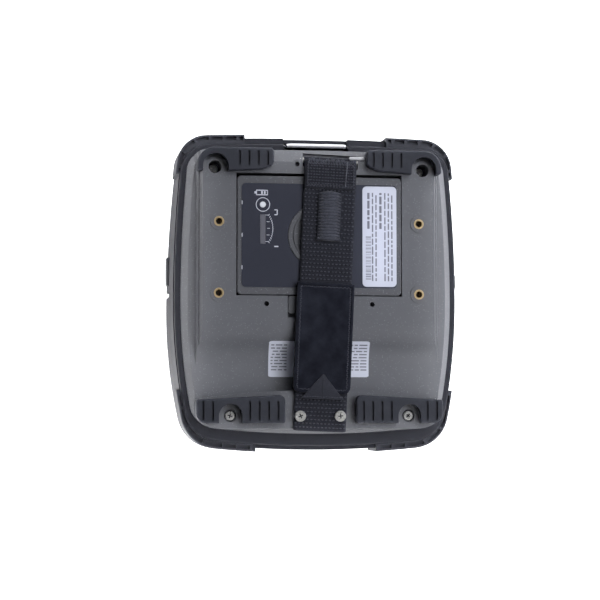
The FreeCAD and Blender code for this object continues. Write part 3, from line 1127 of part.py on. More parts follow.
def make_lid():
    outer = lid_outer(0.0)
    edges = [e for e in outer.Edges if e.BoundBox.ZMin > 66.9 and not is_along(e, V(1, 0, 0))]
    outer = outer.makeFillet(LID_EDGE_R, edges)
    skirt_room = outline_prism(WALL, LID_SEAM_Z, 62.0, near_inset=WALL)
    skirt_room = skirt_room.common(box(-REACH, REACH, HINGE_Y - HINGE_R + WALL, LID_EDGE_Y - WALL, 0, 90))
    shell = outer.cut(lid_outer(WALL).fuse(skirt_room))
    barrel = cyl_x(HINGE_R, -HINGE_HALF_X, HINGE_HALF_X, HINGE_Y, HINGE_Z)
    barrel_web = box(-HINGE_HALF_X, HINGE_HALF_X, HINGE_Y - HINGE_R, HINGE_Y - 1.0, HINGE_Z, 68.0)
    cheeks = []
    for sign in (-1, 1):
        x0, x1 = sorted((sign * CHEEK_X, sign * (CHEEK_X + CHEEK_THICK)))
        cheeks.append(box(x0, x1, PLATEN_Y - 7.0, LID_EDGE_Y - 0.2, PLATEN_Z - 7.0, 78.5))
    barrel = barrel.common(box(-REACH, REACH, -REACH, 0, LID_SEAM_Z + LID_GAP, 90))
    lid = fuse([shell, barrel] + [piece.common(outer) for piece in [barrel_web] + cheeks])
    round_off = box(-REACH, REACH, HINGE_Y - 12, HINGE_Y, 0, HINGE_Z)
    round_off = round_off.cut(cyl_x(HINGE_R, -REACH, REACH, HINGE_Y, HINGE_Z))
    lid = lid.cut(round_off)
    for sign in (-1, 1):
        x0, x1 = sorted((sign * (LUG_IN_X - HINGE_GAP), sign * (LUG_OUT_X + HINGE_GAP)))
        lid = lid.cut(box(x0, x1, HINGE_Y - 10, HINGE_Y + HINGE_R + 0.6, 0, HINGE_Z + HINGE_R + 0.6))
    lid = lid.cut(cyl_x(HINGE_PIN_R + 0.06, -70, 70, HINGE_Y, HINGE_Z))
    lid = lid.cut(cyl_x(HINGE_SPRING_R + 0.2, HINGE_HALF_X, HINGE_HALF_X + 3.2, HINGE_Y, HINGE_Z))
    mouth = box(-CHEEK_X + 0.4, CHEEK_X - 0.4, LID_EDGE_Y - WALL - 1, 1, 0, PLATEN_Z + 7.4)
    lid = lid.cut(mouth)
    gear_r = GEAR_MODULE * (PLATEN_TEETH / 2 + 1) + 0.4
    gear_room = cyl_x(gear_r, GEAR_X - 1.0, GEAR_X + GEAR_FACE + 1.4, PLATEN_Y, PLATEN_Z)
    cheek_out = CHEEK_X + CHEEK_THICK + 1
    shaft_room = cyl_x(BUSH_R + 0.01, -cheek_out, cheek_out, PLATEN_Y, PLATEN_Z)
    lid = lid.cut(gear_room.common(box(0, 90, -30, 1, 0, 78.6))).cut(shaft_room)
    lid = lid.cut(box(CHEEK_X + CHEEK_THICK, GEAR_X + 7, LID_EDGE_Y - WALL - 1, 1, 0, PLATEN_Z + 3.5))
    catch_x = side_x(RELEASE_Y, 0.0) - 5.2
    catch_y = LID_EDGE_Y - 0.5, PANEL_EDGE_Y - 0.9
    catch = box(catch_x, catch_x + 2.0, *catch_y, RELEASE_Z - 2.0, RELEASE_Z + 2.0)
    return fuse([lid, catch]).cut(window_block(0.1, 60, 95))


def window_block(gap, z0, z1):
    half_x, half_y = WINDOW_X / 2 + gap, WINDOW_Y / 2 + gap
    return rounded_box(-half_x, half_x, WINDOW_MID_Y - half_y, WINDOW_MID_Y + half_y, z0, z1, 4.0)


def make_window():
    return lid_outer(0.2).cut(lid_outer(2.2)).common(window_block(0.0, 60, 95))


def make_hinge():
    pin = cyl_x(HINGE_PIN_R, -HINGE_HALF_X - 3.0, HINGE_HALF_X + 3.0, HINGE_Y, HINGE_Z)
    spring_x = HINGE_HALF_X + 0.3
    spring = ring_x(HINGE_SPRING_R, HINGE_PIN_R + 0.1, spring_x, spring_x + 2.5, HINGE_Y, HINGE_Z)
    return pin, spring


# ================= labels =================
def make_labels():
    z1 = BATTERY_LOW_Z - 0.05
    half_x, half_y = TYPE_LABEL_X / 2, TYPE_LABEL_Y / 2
    type_label = rounded_box(
        TYPE_LABEL_MID_X - half_x,
        TYPE_LABEL_MID_X + half_x,
        BATTERY_MID_Y - half_y,
        BATTERY_MID_Y + half_y,
        z1 - 0.15,
        z1,
        2.6,
    )
    return type_label


def build():
    os.makedirs("parts", exist_ok=True)
    save("rear_cover", make_rear_cover())
    save("rubber_feet", Part.makeCompound(make_feet()))
    save("case_screws", make_case_screws())
    save("threaded_inserts", make_inserts())
    fold, flap, keeper, bar = make_strap_parts()
    save("strap_webbing", Part.makeCompound([make_strap(), fold]))
    save("strap_pad", flap)
    save("strap_keeper", keeper)
    save("strap_bar", bar)
    save("strap_screws", make_strap_screws())
    save("battery_case", make_battery())
    save("battery_overlay", make_overlay())
    cells, board, button, window, blades = make_battery_inside()
    save("battery_cells", cells)
    save("gauge_board", board)
    save("gauge_button", button)
    save("gauge_window", window)
    save("battery_contacts", blades)
    tongue, springs = make_latch()
    save("battery_latch", tongue)
    save("latch_springs", springs)
    save("type_label", make_labels())
    save("front_case", make_front_case())
    lens, module, keypad = make_panel_parts()
    save("display_lens", lens)
    save("display_module", module)
    save("keypad_mat", keypad)
    for name, sizes in KEYS.items():
        save(name, make_key(*sizes))
    save("port_cover", make_port_cover())
    release, release_spring = make_release()
    save("release_button", release)
    save("release_spring", release_spring)
    save("ports", make_ports())
    save("carry_bail", make_bail())
    save("bumper_far", make_bumper(True))
    save("bumper_near", make_bumper(False))
    save("media_tub", make_tub())
    save("guide_right", make_guide(1))
    save("guide_left", make_guide(-1))
    save("guide_pinion", make_pinion())
    core, roll = make_roll()
    save("roll_core", core)
    save("label_roll", roll)
    platen_gear, idler, pinion = make_gears()
    save("platen_gear", platen_gear)
    save("idler_gear", idler)
    save("motor_pinion", pinion)
    roller, shaft, bushes = make_platen()
    save("platen_roller", roller)
    save("platen_shaft", shaft)
    save("platen_bushes", bushes)
    head, sink, head_springs, tear_bar = make_head()
    save("print_head", head)
    save("head_heatsink", sink)
    save("head_springs", head_springs)
    save("tear_bar", tear_bar)
    save("mechanism_frame", make_frame())
    save("drive_motor", make_motor())
    board, sensor = make_boards()
    save("main_board", board)
    save("gap_sensor", sensor)
    save("media_lid", make_lid())
    save("lid_window", make_window())
    pin, spring = make_hinge()
    save("hinge_pin", pin)
    save("lid_spring", spring)


build()
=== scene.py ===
"""Looks of a rugged hand-held label maker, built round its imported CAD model.

Metres, +Z up, feet on z = 0. The camera looks up at the rear cover, with the bail end at the top.
Sizes below are in millimetres and are turned into metres by MM where they are used.
"""
import json
import math
import random

import bmesh
import bpy
from mathutils import Matrix, Vector


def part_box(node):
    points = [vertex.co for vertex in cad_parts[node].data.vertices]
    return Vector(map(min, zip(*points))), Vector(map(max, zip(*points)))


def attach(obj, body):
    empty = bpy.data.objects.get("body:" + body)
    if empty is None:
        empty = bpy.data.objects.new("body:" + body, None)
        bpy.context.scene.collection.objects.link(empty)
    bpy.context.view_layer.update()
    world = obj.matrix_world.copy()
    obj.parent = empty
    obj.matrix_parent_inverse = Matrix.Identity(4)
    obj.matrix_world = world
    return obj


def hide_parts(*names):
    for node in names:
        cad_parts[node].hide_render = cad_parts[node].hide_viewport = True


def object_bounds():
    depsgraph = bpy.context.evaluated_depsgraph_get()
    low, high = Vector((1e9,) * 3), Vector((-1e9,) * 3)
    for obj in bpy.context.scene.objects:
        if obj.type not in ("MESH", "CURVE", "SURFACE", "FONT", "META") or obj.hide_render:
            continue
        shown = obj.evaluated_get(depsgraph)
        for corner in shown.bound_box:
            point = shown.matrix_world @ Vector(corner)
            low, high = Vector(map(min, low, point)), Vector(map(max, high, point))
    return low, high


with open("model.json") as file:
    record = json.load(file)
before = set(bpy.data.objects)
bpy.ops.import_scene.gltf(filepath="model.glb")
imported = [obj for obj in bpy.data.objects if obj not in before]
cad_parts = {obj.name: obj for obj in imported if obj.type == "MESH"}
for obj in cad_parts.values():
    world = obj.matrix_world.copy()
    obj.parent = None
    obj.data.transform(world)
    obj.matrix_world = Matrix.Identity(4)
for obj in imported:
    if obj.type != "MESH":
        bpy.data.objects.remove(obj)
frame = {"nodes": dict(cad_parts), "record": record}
cad_low, cad_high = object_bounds()
NODES = frame["nodes"]
MM = 0.001
random.seed(7)


# ================= camera, lights and stage =================
def make_camera():
    """A view square to the rear cover, a little from the side of the drive train and the hinge end."""
    target = Vector((12.3, -4.6, 5.0)) * MM
    distance, lean_x, lean_y = 1.1, math.radians(8.6), math.radians(3.4)
    back = Vector((math.tan(lean_x), -math.tan(lean_y), -1.0)).normalized()
    data = bpy.data.cameras.new("camera")
    data.lens, data.sensor_width = 107.2, 36.0
    camera = bpy.data.objects.new("camera", data)
    bpy.context.scene.collection.objects.link(camera)
    right = Vector((0, 1, 0)).cross(back).normalized()
    up = back.cross(right)
    facing = Matrix((right, up, back)).transposed().to_4x4()
    camera.matrix_world = Matrix.Translation(target + back * distance) @ facing
    bpy.context.scene.camera = camera


def add_light(name, place, size, power, colour=(1.0, 1.0, 1.0), aim=(0.0, 0.0, 0.03)):
    data = bpy.data.lights.new(name, "AREA")
    data.shape, data.size, data.energy, data.color = "DISK", size, power, colour
    lamp = bpy.data.objects.new(name, data)
    bpy.context.scene.collection.objects.link(lamp)
    place = Vector(place)
    lamp.location = place
    lamp.rotation_euler = (Vector(aim) - place).to_track_quat("-Z", "Y").to_euler()


def one_sided(name, colour):
    """A pale sheet that shows from its front only, lets lamps shine through and stays pale far from them."""
    mat = bpy.data.materials.new(name)
    mat.use_nodes = True
    tree = mat.node_tree
    tree.nodes.clear()
    out = tree.nodes.new("ShaderNodeOutputMaterial")
    mix = tree.nodes.new("ShaderNodeMixShader")
    clear = tree.nodes.new("ShaderNodeBsdfTransparent")
    paint = tree.nodes.new("ShaderNodeBsdfDiffuse")
    paint.inputs["Color"].default_value = (*colour, 1)
    side = tree.nodes.new("ShaderNodeNewGeometry")
    path = tree.nodes.new("ShaderNodeLightPath")
    either = tree.nodes.new("ShaderNodeMath")
    either.operation = "MAXIMUM"
    glow = tree.nodes.new("ShaderNodeEmission")
    glow.inputs["Color"].default_value = (*colour, 1)
    seen = tree.nodes.new("ShaderNodeMath")
    seen.operation = "MULTIPLY"
    seen.inputs[1].default_value = 0.85
    both = tree.nodes.new("ShaderNodeAddShader")
    tree.links.new(path.outputs["Is Camera Ray"], seen.inputs[0])
    tree.links.new(seen.outputs[0], glow.inputs["Strength"])
    tree.links.new(paint.outputs[0], both.inputs[0])
    tree.links.new(glow.outputs[0], both.inputs[1])
    tree.links.new(side.outputs["Backfacing"], either.inputs[0])
    tree.links.new(path.outputs["Is Shadow Ray"], either.inputs[1])
    tree.links.new(either.outputs[0], mix.inputs["Fac"])
    tree.links.new(both.outputs[0], mix.inputs[1])
    tree.links.new(clear.outputs[0], mix.inputs[2])
    tree.links.new(mix.outputs[0], out.inputs["Surface"])
    return mat


def add_sheet(name, z, faces_down, colour):
    bpy.ops.object.select_all(action="DESELECT")
    bpy.ops.mesh.primitive_plane_add(size=40.0, location=(0, 0, z))
    sheet = bpy.context.object
    sheet.name = name
    if faces_down:
        sheet.data.flip_normals()
    sheet.data.materials.append(one_sided(name + "_paint", colour))


def make_stage():
    scene = bpy.context.scene
    world = bpy.data.worlds.new("studio")
    world.use_nodes = True
    tree = world.node_tree
    sky = tree.nodes["Background"]
    sky.inputs["Color"].default_value = (0.94, 0.96, 1.0, 1)
    ray = tree.nodes.new("ShaderNodeLightPath")
    level = tree.nodes.new("ShaderNodeMapRange")
    level.inputs["To Min"].default_value, level.inputs["To Max"].default_value = 0.2, 1.1
    tree.links.new(ray.outputs["Is Camera Ray"], level.inputs["Value"])
    tree.links.new(level.outputs["Result"], sky.inputs["Strength"])
    scene.world = world
    scene.view_settings.view_transform = "Standard"
    add_sheet("floor", -0.0005, False, (0.85, 0.85, 0.85))
    add_sheet("backdrop", cad_high.z + 0.001, True, (0.9, 0.9, 0.9))
    add_light("under_key", (-0.4, 0.7, -0.85), 0.7, 9.0, (0.95, 0.97, 1.0))
    add_light("under_fill", (-0.7, -0.5, -0.8), 0.9, 5.0)
    add_light("under_side", (-0.95, 0.15, -0.85), 0.6, 9.0, (0.86, 0.9, 1.0))
    add_light("top_key", (0.6, -0.5, 1.1), 0.6, 14.0)
    add_light("top_fill", (-0.8, 0.6, 0.9), 0.9, 7.0)


# ================= materials =================
def new_group(name, inputs, outputs):
    """An empty shader group with named float inputs {name: default} and outputs {name: socket type}."""
    group = bpy.data.node_groups.new(name, "ShaderNodeTree")
    for label, value in inputs.items():
        socket = group.interface.new_socket(label, in_out="INPUT", socket_type="NodeSocketFloat")
        socket.default_value = value
    for label, kind in outputs.items():
        group.interface.new_socket(label, in_out="OUTPUT", socket_type=kind)
    return group, group.nodes.new("NodeGroupInput"), group.nodes.new("NodeGroupOutput")


def node(tree, kind, links=None, **values):
    """A node with its properties set, and its inputs set or linked by name or number."""
    made = tree.nodes.new(kind)
    for key, value in values.items():
        setattr(made, key, value)
    for key, source in (links or {}).items():
        if isinstance(source, bpy.types.NodeSocket):
            tree.links.new(source, made.inputs[key])
        else:
            made.inputs[key].default_value = source
    return made


def math_node(tree, operation, a, b=0.0, clamp=False):
    return node(tree, "ShaderNodeMath", {0: a, 1: b}, operation=operation, use_clamp=clamp).outputs[0]


def object_place(tree):
    return node(tree, "ShaderNodeTexCoord").outputs["Object"]


def make_grain_group():
    """Fine moulded texture: a height made of two sizes of noise."""
    tree, given, result = new_group("moulded grain", {"Scale": 2000.0}, {"Height": "NodeSocketFloat"})
    place = object_place(tree)
    fine = node(tree, "ShaderNodeTexNoise", {"Vector": place, "Scale": given.outputs["Scale"], "Detail": 3.0})
    coarse_scale = math_node(tree, "MULTIPLY", given.outputs["Scale"], 0.18)
    coarse = node(tree, "ShaderNodeTexNoise", {"Vector": place, "Scale": coarse_scale, "Detail": 2.0})
    half = math_node(tree, "MULTIPLY", coarse.outputs["Fac"], 0.5)
    tree.links.new(math_node(tree, "ADD", fine.outputs["Fac"], half), result.inputs["Height"])
    return tree


def make_fleck_group():
    """Sparse pale flecks in a dark plastic, as a mask."""
    tree, given, result = new_group("flecks", {"Scale": 900.0, "Share": 0.3}, {"Mask": "NodeSocketFloat"})
    place = object_place(tree)
    scale = given.outputs["Scale"]
    cells = node(tree, "ShaderNodeTexVoronoi", {"Vector": place, "Scale": scale, "Randomness": 1.0})
    pick = node(tree, "ShaderNodeSeparateColor", {0: cells.outputs["Color"]})
    chosen = math_node(tree, "LESS_THAN", pick.outputs[0], given.outputs["Share"])
    near = math_node(tree, "LESS_THAN", cells.outputs["Distance"], 0.32)
    tree.links.new(math_node(tree, "MULTIPLY", chosen, near), result.inputs["Mask"])
    return tree


def make_wear_group():
    """Handling marks: soft smudges and short scratches, as a mask."""
    knobs = {"Scale": 30.0, "Amount": 0.5}
    tree, given, result = new_group("handling marks", knobs, {"Mask": "NodeSocketFloat"})
    place = object_place(tree)
    soft = {"Vector": place, "Scale": given.outputs["Scale"], "Detail": 6.0, "Roughness": 0.7}
    smudge = node(tree, "ShaderNodeTexNoise", soft)
    band = node(tree, "ShaderNodeMapRange", {"Value": smudge.outputs["Fac"], 1: 0.48, 2: 0.75})
    stretch = {"Vector": place, "Scale": (400.0, 60.0, 60.0), "Rotation": (0.3, 0.4, 0.9)}
    stretched = node(tree, "ShaderNodeMapping", stretch)
    sharp = {"Vector": stretched.outputs[0], "Scale": 1.0, "Detail": 4.0, "Roughness": 0.8}
    lines = node(tree, "ShaderNodeTexNoise", sharp)
    scratch = node(tree, "ShaderNodeMapRange", {"Value": lines.outputs["Fac"], 1: 0.66, 2: 0.7})
    faint = math_node(tree, "MULTIPLY", scratch.outputs[0], 0.6)
    both = math_node(tree, "ADD", band.outputs[0], faint, clamp=True)
    tree.links.new(math_node(tree, "MULTIPLY", both, given.outputs["Amount"]), result.inputs["Mask"])
    return tree


def make_weave_group():
    """Woven yarn, crossed along and across an even pitch, as a height. It follows the piece's own map."""
    knobs = {"Pitch": 600.0, "Cross": 600.0}
    tree, given, result = new_group("yarn weave", knobs, {"Height": "NodeSocketFloat"})
    place = node(tree, "ShaderNodeTexCoord").outputs["UV"]
    parts = node(tree, "ShaderNodeSeparateXYZ", {0: place})
    across = math_node(tree, "SINE", math_node(tree, "MULTIPLY", parts.outputs[0], given.outputs["Cross"]))
    along = math_node(tree, "SINE", math_node(tree, "MULTIPLY", parts.outputs[1], given.outputs["Pitch"]))
    crossed = math_node(tree, "MULTIPLY", across, along)
    tree.links.new(math_node(tree, "MULTIPLY_ADD", crossed, 0.5), result.inputs["Height"])
    return tree


GROUPS = {}


def effect(tree, name, **values):
    made = tree.nodes.new("ShaderNodeGroup")
    made.node_tree = GROUPS[name]
    for key, value in values.items():
        made.inputs[key.capitalize()].default_value = value
    return made.outputs[0]


def blank(name, colour, roughness, metallic=0.0, **sockets):
    """A material with a Principled shader whose plain values sit on its own sockets."""
    mat = bpy.data.materials.new(name)
    mat.use_nodes = True
    shader = mat.node_tree.nodes["Principled BSDF"]
    shader.inputs["Base Color"].default_value = (*colour, 1)
    shader.inputs["Roughness"].default_value = roughness
    shader.inputs["Metallic"].default_value = metallic
    for key, value in sockets.items():
        shader.inputs[key.replace("_", " ")].default_value = value
    return mat, mat.node_tree, shader


def colour_by(tree, shader, mask, dark, pale):
    mix = node(tree, "ShaderNodeMix", {"Factor": mask, 6: (*dark, 1), 7: (*pale, 1)}, data_type="RGBA")
    tree.links.new(mix.outputs[2], shader.inputs["Base Color"])
    return mix.outputs[2]


def rough_by(tree, shader, mask, low, high):
    spread = node(tree, "ShaderNodeMapRange", {"Value": mask, 3: low, 4: high})
    tree.links.new(spread.outputs[0], shader.inputs["Roughness"])


def bump_by(tree, shader, height, strength, depth):
    bump = node(tree, "ShaderNodeBump", {"Height": height, "Strength": strength, "Distance": depth})
    tree.links.new(bump.outputs[0], shader.inputs["Normal"])


def moulded_plastic(
    name, dark, pale, roughness, grain=2400.0, depth=0.00004, flecks=None, wear=0.35, shine=0.5
):
    """Textured plastic with a slow colour drift, handling marks and, if asked, pale flecks."""
    mat, tree, shader = blank(name, dark, roughness, Specular_IOR_Level=shine)
    marks = effect(tree, "handling marks", scale=26.0, amount=wear)
    colour = colour_by(tree, shader, marks, dark, pale)
    if flecks:
        mask = effect(tree, "flecks", scale=1300.0, share=0.16)
        topped = node(tree, "ShaderNodeMix", {"Factor": mask, 6: colour, 7: (*flecks, 1)}, data_type="RGBA")
        tree.links.new(topped.outputs[2], shader.inputs["Base Color"])
    rough_by(tree, shader, marks, roughness, roughness - 0.14)
    bump_by(tree, shader, effect(tree, "moulded grain", scale=grain), 0.35, depth)
    return mat


def moulded_rubber(name, dark, pale):
    mat, tree, shader = blank(name, dark, 0.62, Specular_IOR_Level=0.35)
    marks = effect(tree, "handling marks", scale=40.0, amount=0.6)
    colour_by(tree, shader, marks, dark, pale)
    rough_by(tree, shader, marks, 0.66, 0.5)
    bump_by(tree, shader, effect(tree, "moulded grain", scale=1500.0), 0.4, 0.00005)
    return mat


def metal(name, colour, roughness, streak=(1.0, 1.0, 1.0), wear=0.5):
    """Metal with fine streaks along one axis and dulled patches."""
    mat, tree, shader = blank(name, colour, roughness, metallic=1.0)
    place = object_place(tree)
    lines = node(tree, "ShaderNodeMapping", {"Vector": place, "Scale": tuple(900.0 * s for s in streak)})
    fine = node(tree, "ShaderNodeTexNoise", {"Vector": lines.outputs[0], "Scale": 1.0, "Detail": 4.0})
    marks = effect(tree, "handling marks", scale=90.0, amount=wear)
    colour_by(tree, shader, marks, colour, tuple(0.72 * c for c in colour))
    rough_by(tree, shader, fine.outputs["Fac"], roughness * 0.7, roughness * 1.4)
    bump_by(tree, shader, fine.outputs["Fac"], 0.15, 0.00002)
    return mat


def woven(name, dark, pale, pitch, cross, sheen=0.25):
    soft = {"Specular_IOR_Level": 0.25, "Sheen_Weight": sheen, "Sheen_Roughness": 0.5}
    mat, tree, shader = blank(name, dark, 0.85, **soft)
    yarn = effect(tree, "yarn weave", pitch=pitch, cross=cross)
    fuzz = node(tree, "ShaderNodeTexNoise", {"Vector": object_place(tree), "Scale": 1800.0, "Detail": 4.0})
    mask = node(tree, "ShaderNodeMapRange", {"Value": fuzz.outputs["Fac"], 1: 0.35, 2: 0.75})
    colour_by(tree, shader, mask.outputs[0], dark, pale)
    height = math_node(tree, "ADD", yarn, math_node(tree, "MULTIPLY", fuzz.outputs["Fac"], 0.6))
    bump_by(tree, shader, height, 0.5, 0.00012)
    return mat


def pile(name, dark, pale):
    """Short velvet pile, brushed in patches."""
    soft = {"Specular_IOR_Level": 0.15, "Sheen_Weight": 0.35, "Sheen_Roughness": 0.35}
    mat, tree, shader = blank(name, dark, 0.95, **soft)
    place = object_place(tree)
    fine = {"Vector": place, "Scale": 2600.0, "Detail": 5.0, "Roughness": 0.7}
    tuft = node(tree, "ShaderNodeTexNoise", fine)
    patch = node(tree, "ShaderNodeTexNoise", {"Vector": place, "Scale": 110.0, "Detail": 4.0})
    mask = math_node(tree, "MULTIPLY", tuft.outputs["Fac"], patch.outputs["Fac"])
    spread = node(tree, "ShaderNodeMapRange", {"Value": mask, 1: 0.14, 2: 0.42})
    colour_by(tree, shader, spread.outputs[0], dark, pale)
    bump_by(tree, shader, tuft.outputs["Fac"], 0.7, 0.00018)
    return mat


def paper(name, colour):
    mat, tree, shader = blank(name, colour, 0.42, Specular_IOR_Level=0.4)
    fibre = node(tree, "ShaderNodeTexNoise", {"Vector": object_place(tree), "Scale": 900.0, "Detail": 5.0})
    colour_by(tree, shader, fibre.outputs["Fac"], tuple(0.96 * c for c in colour), colour)
    bump_by(tree, shader, fibre.outputs["Fac"], 0.1, 0.00002)
    return mat


def wound_paper(name, colour):
    """Label stock on a roll: its ends show the turns as fine rings."""
    mat, tree, shader = blank(name, colour, 0.6)
    parts = node(tree, "ShaderNodeSeparateXYZ", {0: object_place(tree)})
    low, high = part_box("label_roll")
    dy = math_node(tree, "SUBTRACT", parts.outputs[1], (low.y + high.y) / 2)
    dz = math_node(tree, "SUBTRACT", parts.outputs[2], (low.z + high.z) / 2)
    square = math_node(tree, "ADD", math_node(tree, "MULTIPLY", dy, dy), math_node(tree, "MULTIPLY", dz, dz))
    turn = math_node(tree, "SINE", math_node(tree, "MULTIPLY", math_node(tree, "SQRT", square), 21000.0))
    mask = node(tree, "ShaderNodeMapRange", {"Value": turn, 1: -1.0, 2: 1.0})
    colour_by(tree, shader, mask.outputs[0], tuple(0.72 * c for c in colour), colour)
    bump_by(tree, shader, mask.outputs[0], 0.3, 0.00004)
    return mat


def glassy(name, colour, roughness, alpha):
    mat, tree, shader = blank(name, colour, roughness, Coat_Weight=0.6, Coat_Roughness=0.05)
    marks = effect(tree, "handling marks", scale=60.0, amount=0.5)
    rough_by(tree, shader, marks, roughness, roughness + 0.12)
    shader.inputs["Alpha"].default_value = alpha
    return mat


def make_materials():
    GROUPS["moulded grain"] = make_grain_group()
    GROUPS["flecks"] = make_fleck_group()
    GROUPS["handling marks"] = make_wear_group()
    GROUPS["yarn weave"] = make_weave_group()
    looks = {
        "cover_grey": moulded_plastic(
            "cover grey", (0.112, 0.114, 0.124), (0.15, 0.153, 0.166), 0.4, flecks=(0.19, 0.19, 0.205)
        ),
        "case_black": moulded_plastic(
            "case black", (0.012, 0.0125, 0.018), (0.024, 0.025, 0.033), 0.58, shine=0.22
        ),
        "lid_black": moulded_plastic(
            "lid black", (0.013, 0.0135, 0.019), (0.026, 0.027, 0.035), 0.55, shine=0.25
        ),
        "battery_grey": moulded_plastic(
            "battery grey", (0.085, 0.086, 0.094), (0.13, 0.132, 0.142), 0.45, flecks=(0.2, 0.2, 0.22)
        ),
        "latch_plastic": moulded_plastic("latch grey", (0.07, 0.071, 0.077), (0.11, 0.112, 0.12), 0.45),
        "tub_plastic": moulded_plastic("tub charcoal", (0.04, 0.041, 0.045), (0.07, 0.071, 0.078), 0.55),
        "guide_plastic": moulded_plastic("guide acetal", (0.09, 0.09, 0.1), (0.14, 0.14, 0.15), 0.35),
        "gear_plastic": moulded_plastic("gear acetal", (0.62, 0.61, 0.56), (0.7, 0.69, 0.64), 0.35),
        "bush_plastic": moulded_plastic("bush acetal", (0.7, 0.69, 0.64), (0.78, 0.77, 0.72), 0.35),
        "release_plastic": moulded_plastic("release grey", (0.03, 0.03, 0.036), (0.05, 0.05, 0.058), 0.45),
        "button_white": moulded_plastic("button white", (0.78, 0.79, 0.82), (0.86, 0.87, 0.9), 0.3, wear=0.2),
        "gauge_light": moulded_plastic("light bar", (0.13, 0.13, 0.15), (0.18, 0.18, 0.2), 0.3, wear=0.2),
        "module_black": moulded_plastic("module black", (0.012, 0.012, 0.014), (0.02, 0.02, 0.024), 0.4),
        "cell_wrap": moulded_plastic("cell wrap", (0.03, 0.09, 0.22), (0.05, 0.13, 0.28), 0.3, grain=600.0),
        "board_green": moulded_plastic(
            "circuit board", (0.01, 0.09, 0.035), (0.02, 0.13, 0.05), 0.35, grain=800.0
        ),
        "overlay_film": moulded_plastic(
            "overlay film", (0.03, 0.032, 0.047), (0.042, 0.045, 0.062), 0.42, grain=1800.0, shine=0.3
        ),
        "bumper_rubber": moulded_rubber("bumper rubber", (0.015, 0.016, 0.023), (0.03, 0.031, 0.042)),
        "foot_rubber": moulded_rubber("foot rubber", (0.026, 0.028, 0.038), (0.05, 0.052, 0.066)),
        "flap_rubber": moulded_rubber("flap rubber", (0.02, 0.021, 0.026), (0.036, 0.037, 0.045)),
        "key_rubber": moulded_rubber("key rubber", (0.1, 0.102, 0.11), (0.14, 0.142, 0.152)),
        "platen_rubber": moulded_rubber("platen rubber", (0.02, 0.02, 0.02), (0.05, 0.05, 0.05)),
        "screw_steel": metal("zinc plate", (0.72, 0.71, 0.68), 0.28),
        "bail_chrome": metal("bright wire", (0.86, 0.86, 0.88), 0.12, streak=(0.1, 1.0, 1.0), wear=0.2),
        "insert_brass": metal("worn brass", (0.62, 0.47, 0.26), 0.34),
        "pinion_brass": metal("turned brass", (0.7, 0.55, 0.3), 0.3),
        "contact_gold": metal("gold plate", (0.85, 0.65, 0.3), 0.25),
        "spring_steel": metal("spring wire", (0.5, 0.5, 0.52), 0.3),
        "shaft_steel": metal("ground steel", (0.6, 0.6, 0.62), 0.22, streak=(0.05, 1.0, 1.0)),
        "tear_steel": metal("tear bar steel", (0.58, 0.58, 0.6), 0.28, streak=(0.05, 1.0, 1.0)),
        "frame_steel": metal("frame sheet", (0.5, 0.5, 0.52), 0.36),
        "motor_can": metal("motor can", (0.42, 0.42, 0.44), 0.34),
        "port_metal": metal("port shell", (0.6, 0.6, 0.62), 0.25),
        "sink_aluminium": metal("heat sink", (0.68, 0.68, 0.7), 0.34, streak=(0.05, 1.0, 1.0)),
        "head_ceramic": metal("head substrate", (0.4, 0.36, 0.3), 0.3),
        "webbing": woven("strap webbing", (0.007, 0.0075, 0.013), (0.022, 0.0235, 0.034), 5200.0, 4200.0),
        "elastic": woven("keeper webbing", (0.012, 0.0125, 0.019), (0.042, 0.044, 0.058), 5200.0, 6000.0),
        "velvet": pile("velvet pile", (0.005, 0.0055, 0.0105), (0.022, 0.024, 0.034)),
        "label_paper": paper("label stock", (0.6, 0.615, 0.69)),
        "core_card": paper("core board", (0.42, 0.31, 0.2)),
        "lens_glass": glassy("display lens", (0.006, 0.006, 0.008), 0.08, 1.0),
        "window_clear": glassy("clear window", (0.12, 0.13, 0.15), 0.06, 0.38),
    }
    looks["roll_paper"] = wound_paper("wound labels", (0.82, 0.83, 0.86))
    looks["thread"] = woven("sewing thread", (0.03, 0.032, 0.043), (0.085, 0.088, 0.112), 9000.0, 9000.0)
    looks["thread_pale"] = woven("pale thread", (0.09, 0.092, 0.115), (0.2, 0.205, 0.24), 9000.0, 9000.0)
    looks["lcd_light"] = blank("display light", (0.5, 0.6, 0.62), 0.3)[0]
    looks["print_grey"] = blank("label print", (0.16, 0.16, 0.19), 0.5)[0]
    looks["print_white"] = blank("white print", (0.62, 0.63, 0.7), 0.45)[0]
    return looks


def dress_frame(looks):
    """Gives each CAD node the look of its own slot."""
    for part in frame["record"]["subparts"]:
        shape = NODES[part["node"]]
        look = looks["roll_paper" if part["node"] == "label_roll" else part["material_slot"]]
        if not shape.material_slots:
            shape.data.materials.append(look)
        for slot in shape.material_slots:
            slot.material = look


# ================= modelling helpers =================
def select_only(kind, test):
    """In edit mode, selects just the vertices, edges or faces that pass the test."""
    bpy.ops.mesh.select_mode(type=kind)
    bpy.ops.mesh.select_all(action="DESELECT")
    mesh = bmesh.from_edit_mesh(bpy.context.object.data)
    parts = {"VERT": mesh.verts, "EDGE": mesh.edges, "FACE": mesh.faces}[kind]
    for part in parts:
        if test(part):
            part.select_set(True)
    mesh.select_flush_mode()
    bmesh.update_edit_mesh(bpy.context.object.data)


def is_upright(edge):
    run = edge.verts[0].co - edge.verts[1].co
    return abs(run.z) > 0.9 * run.length


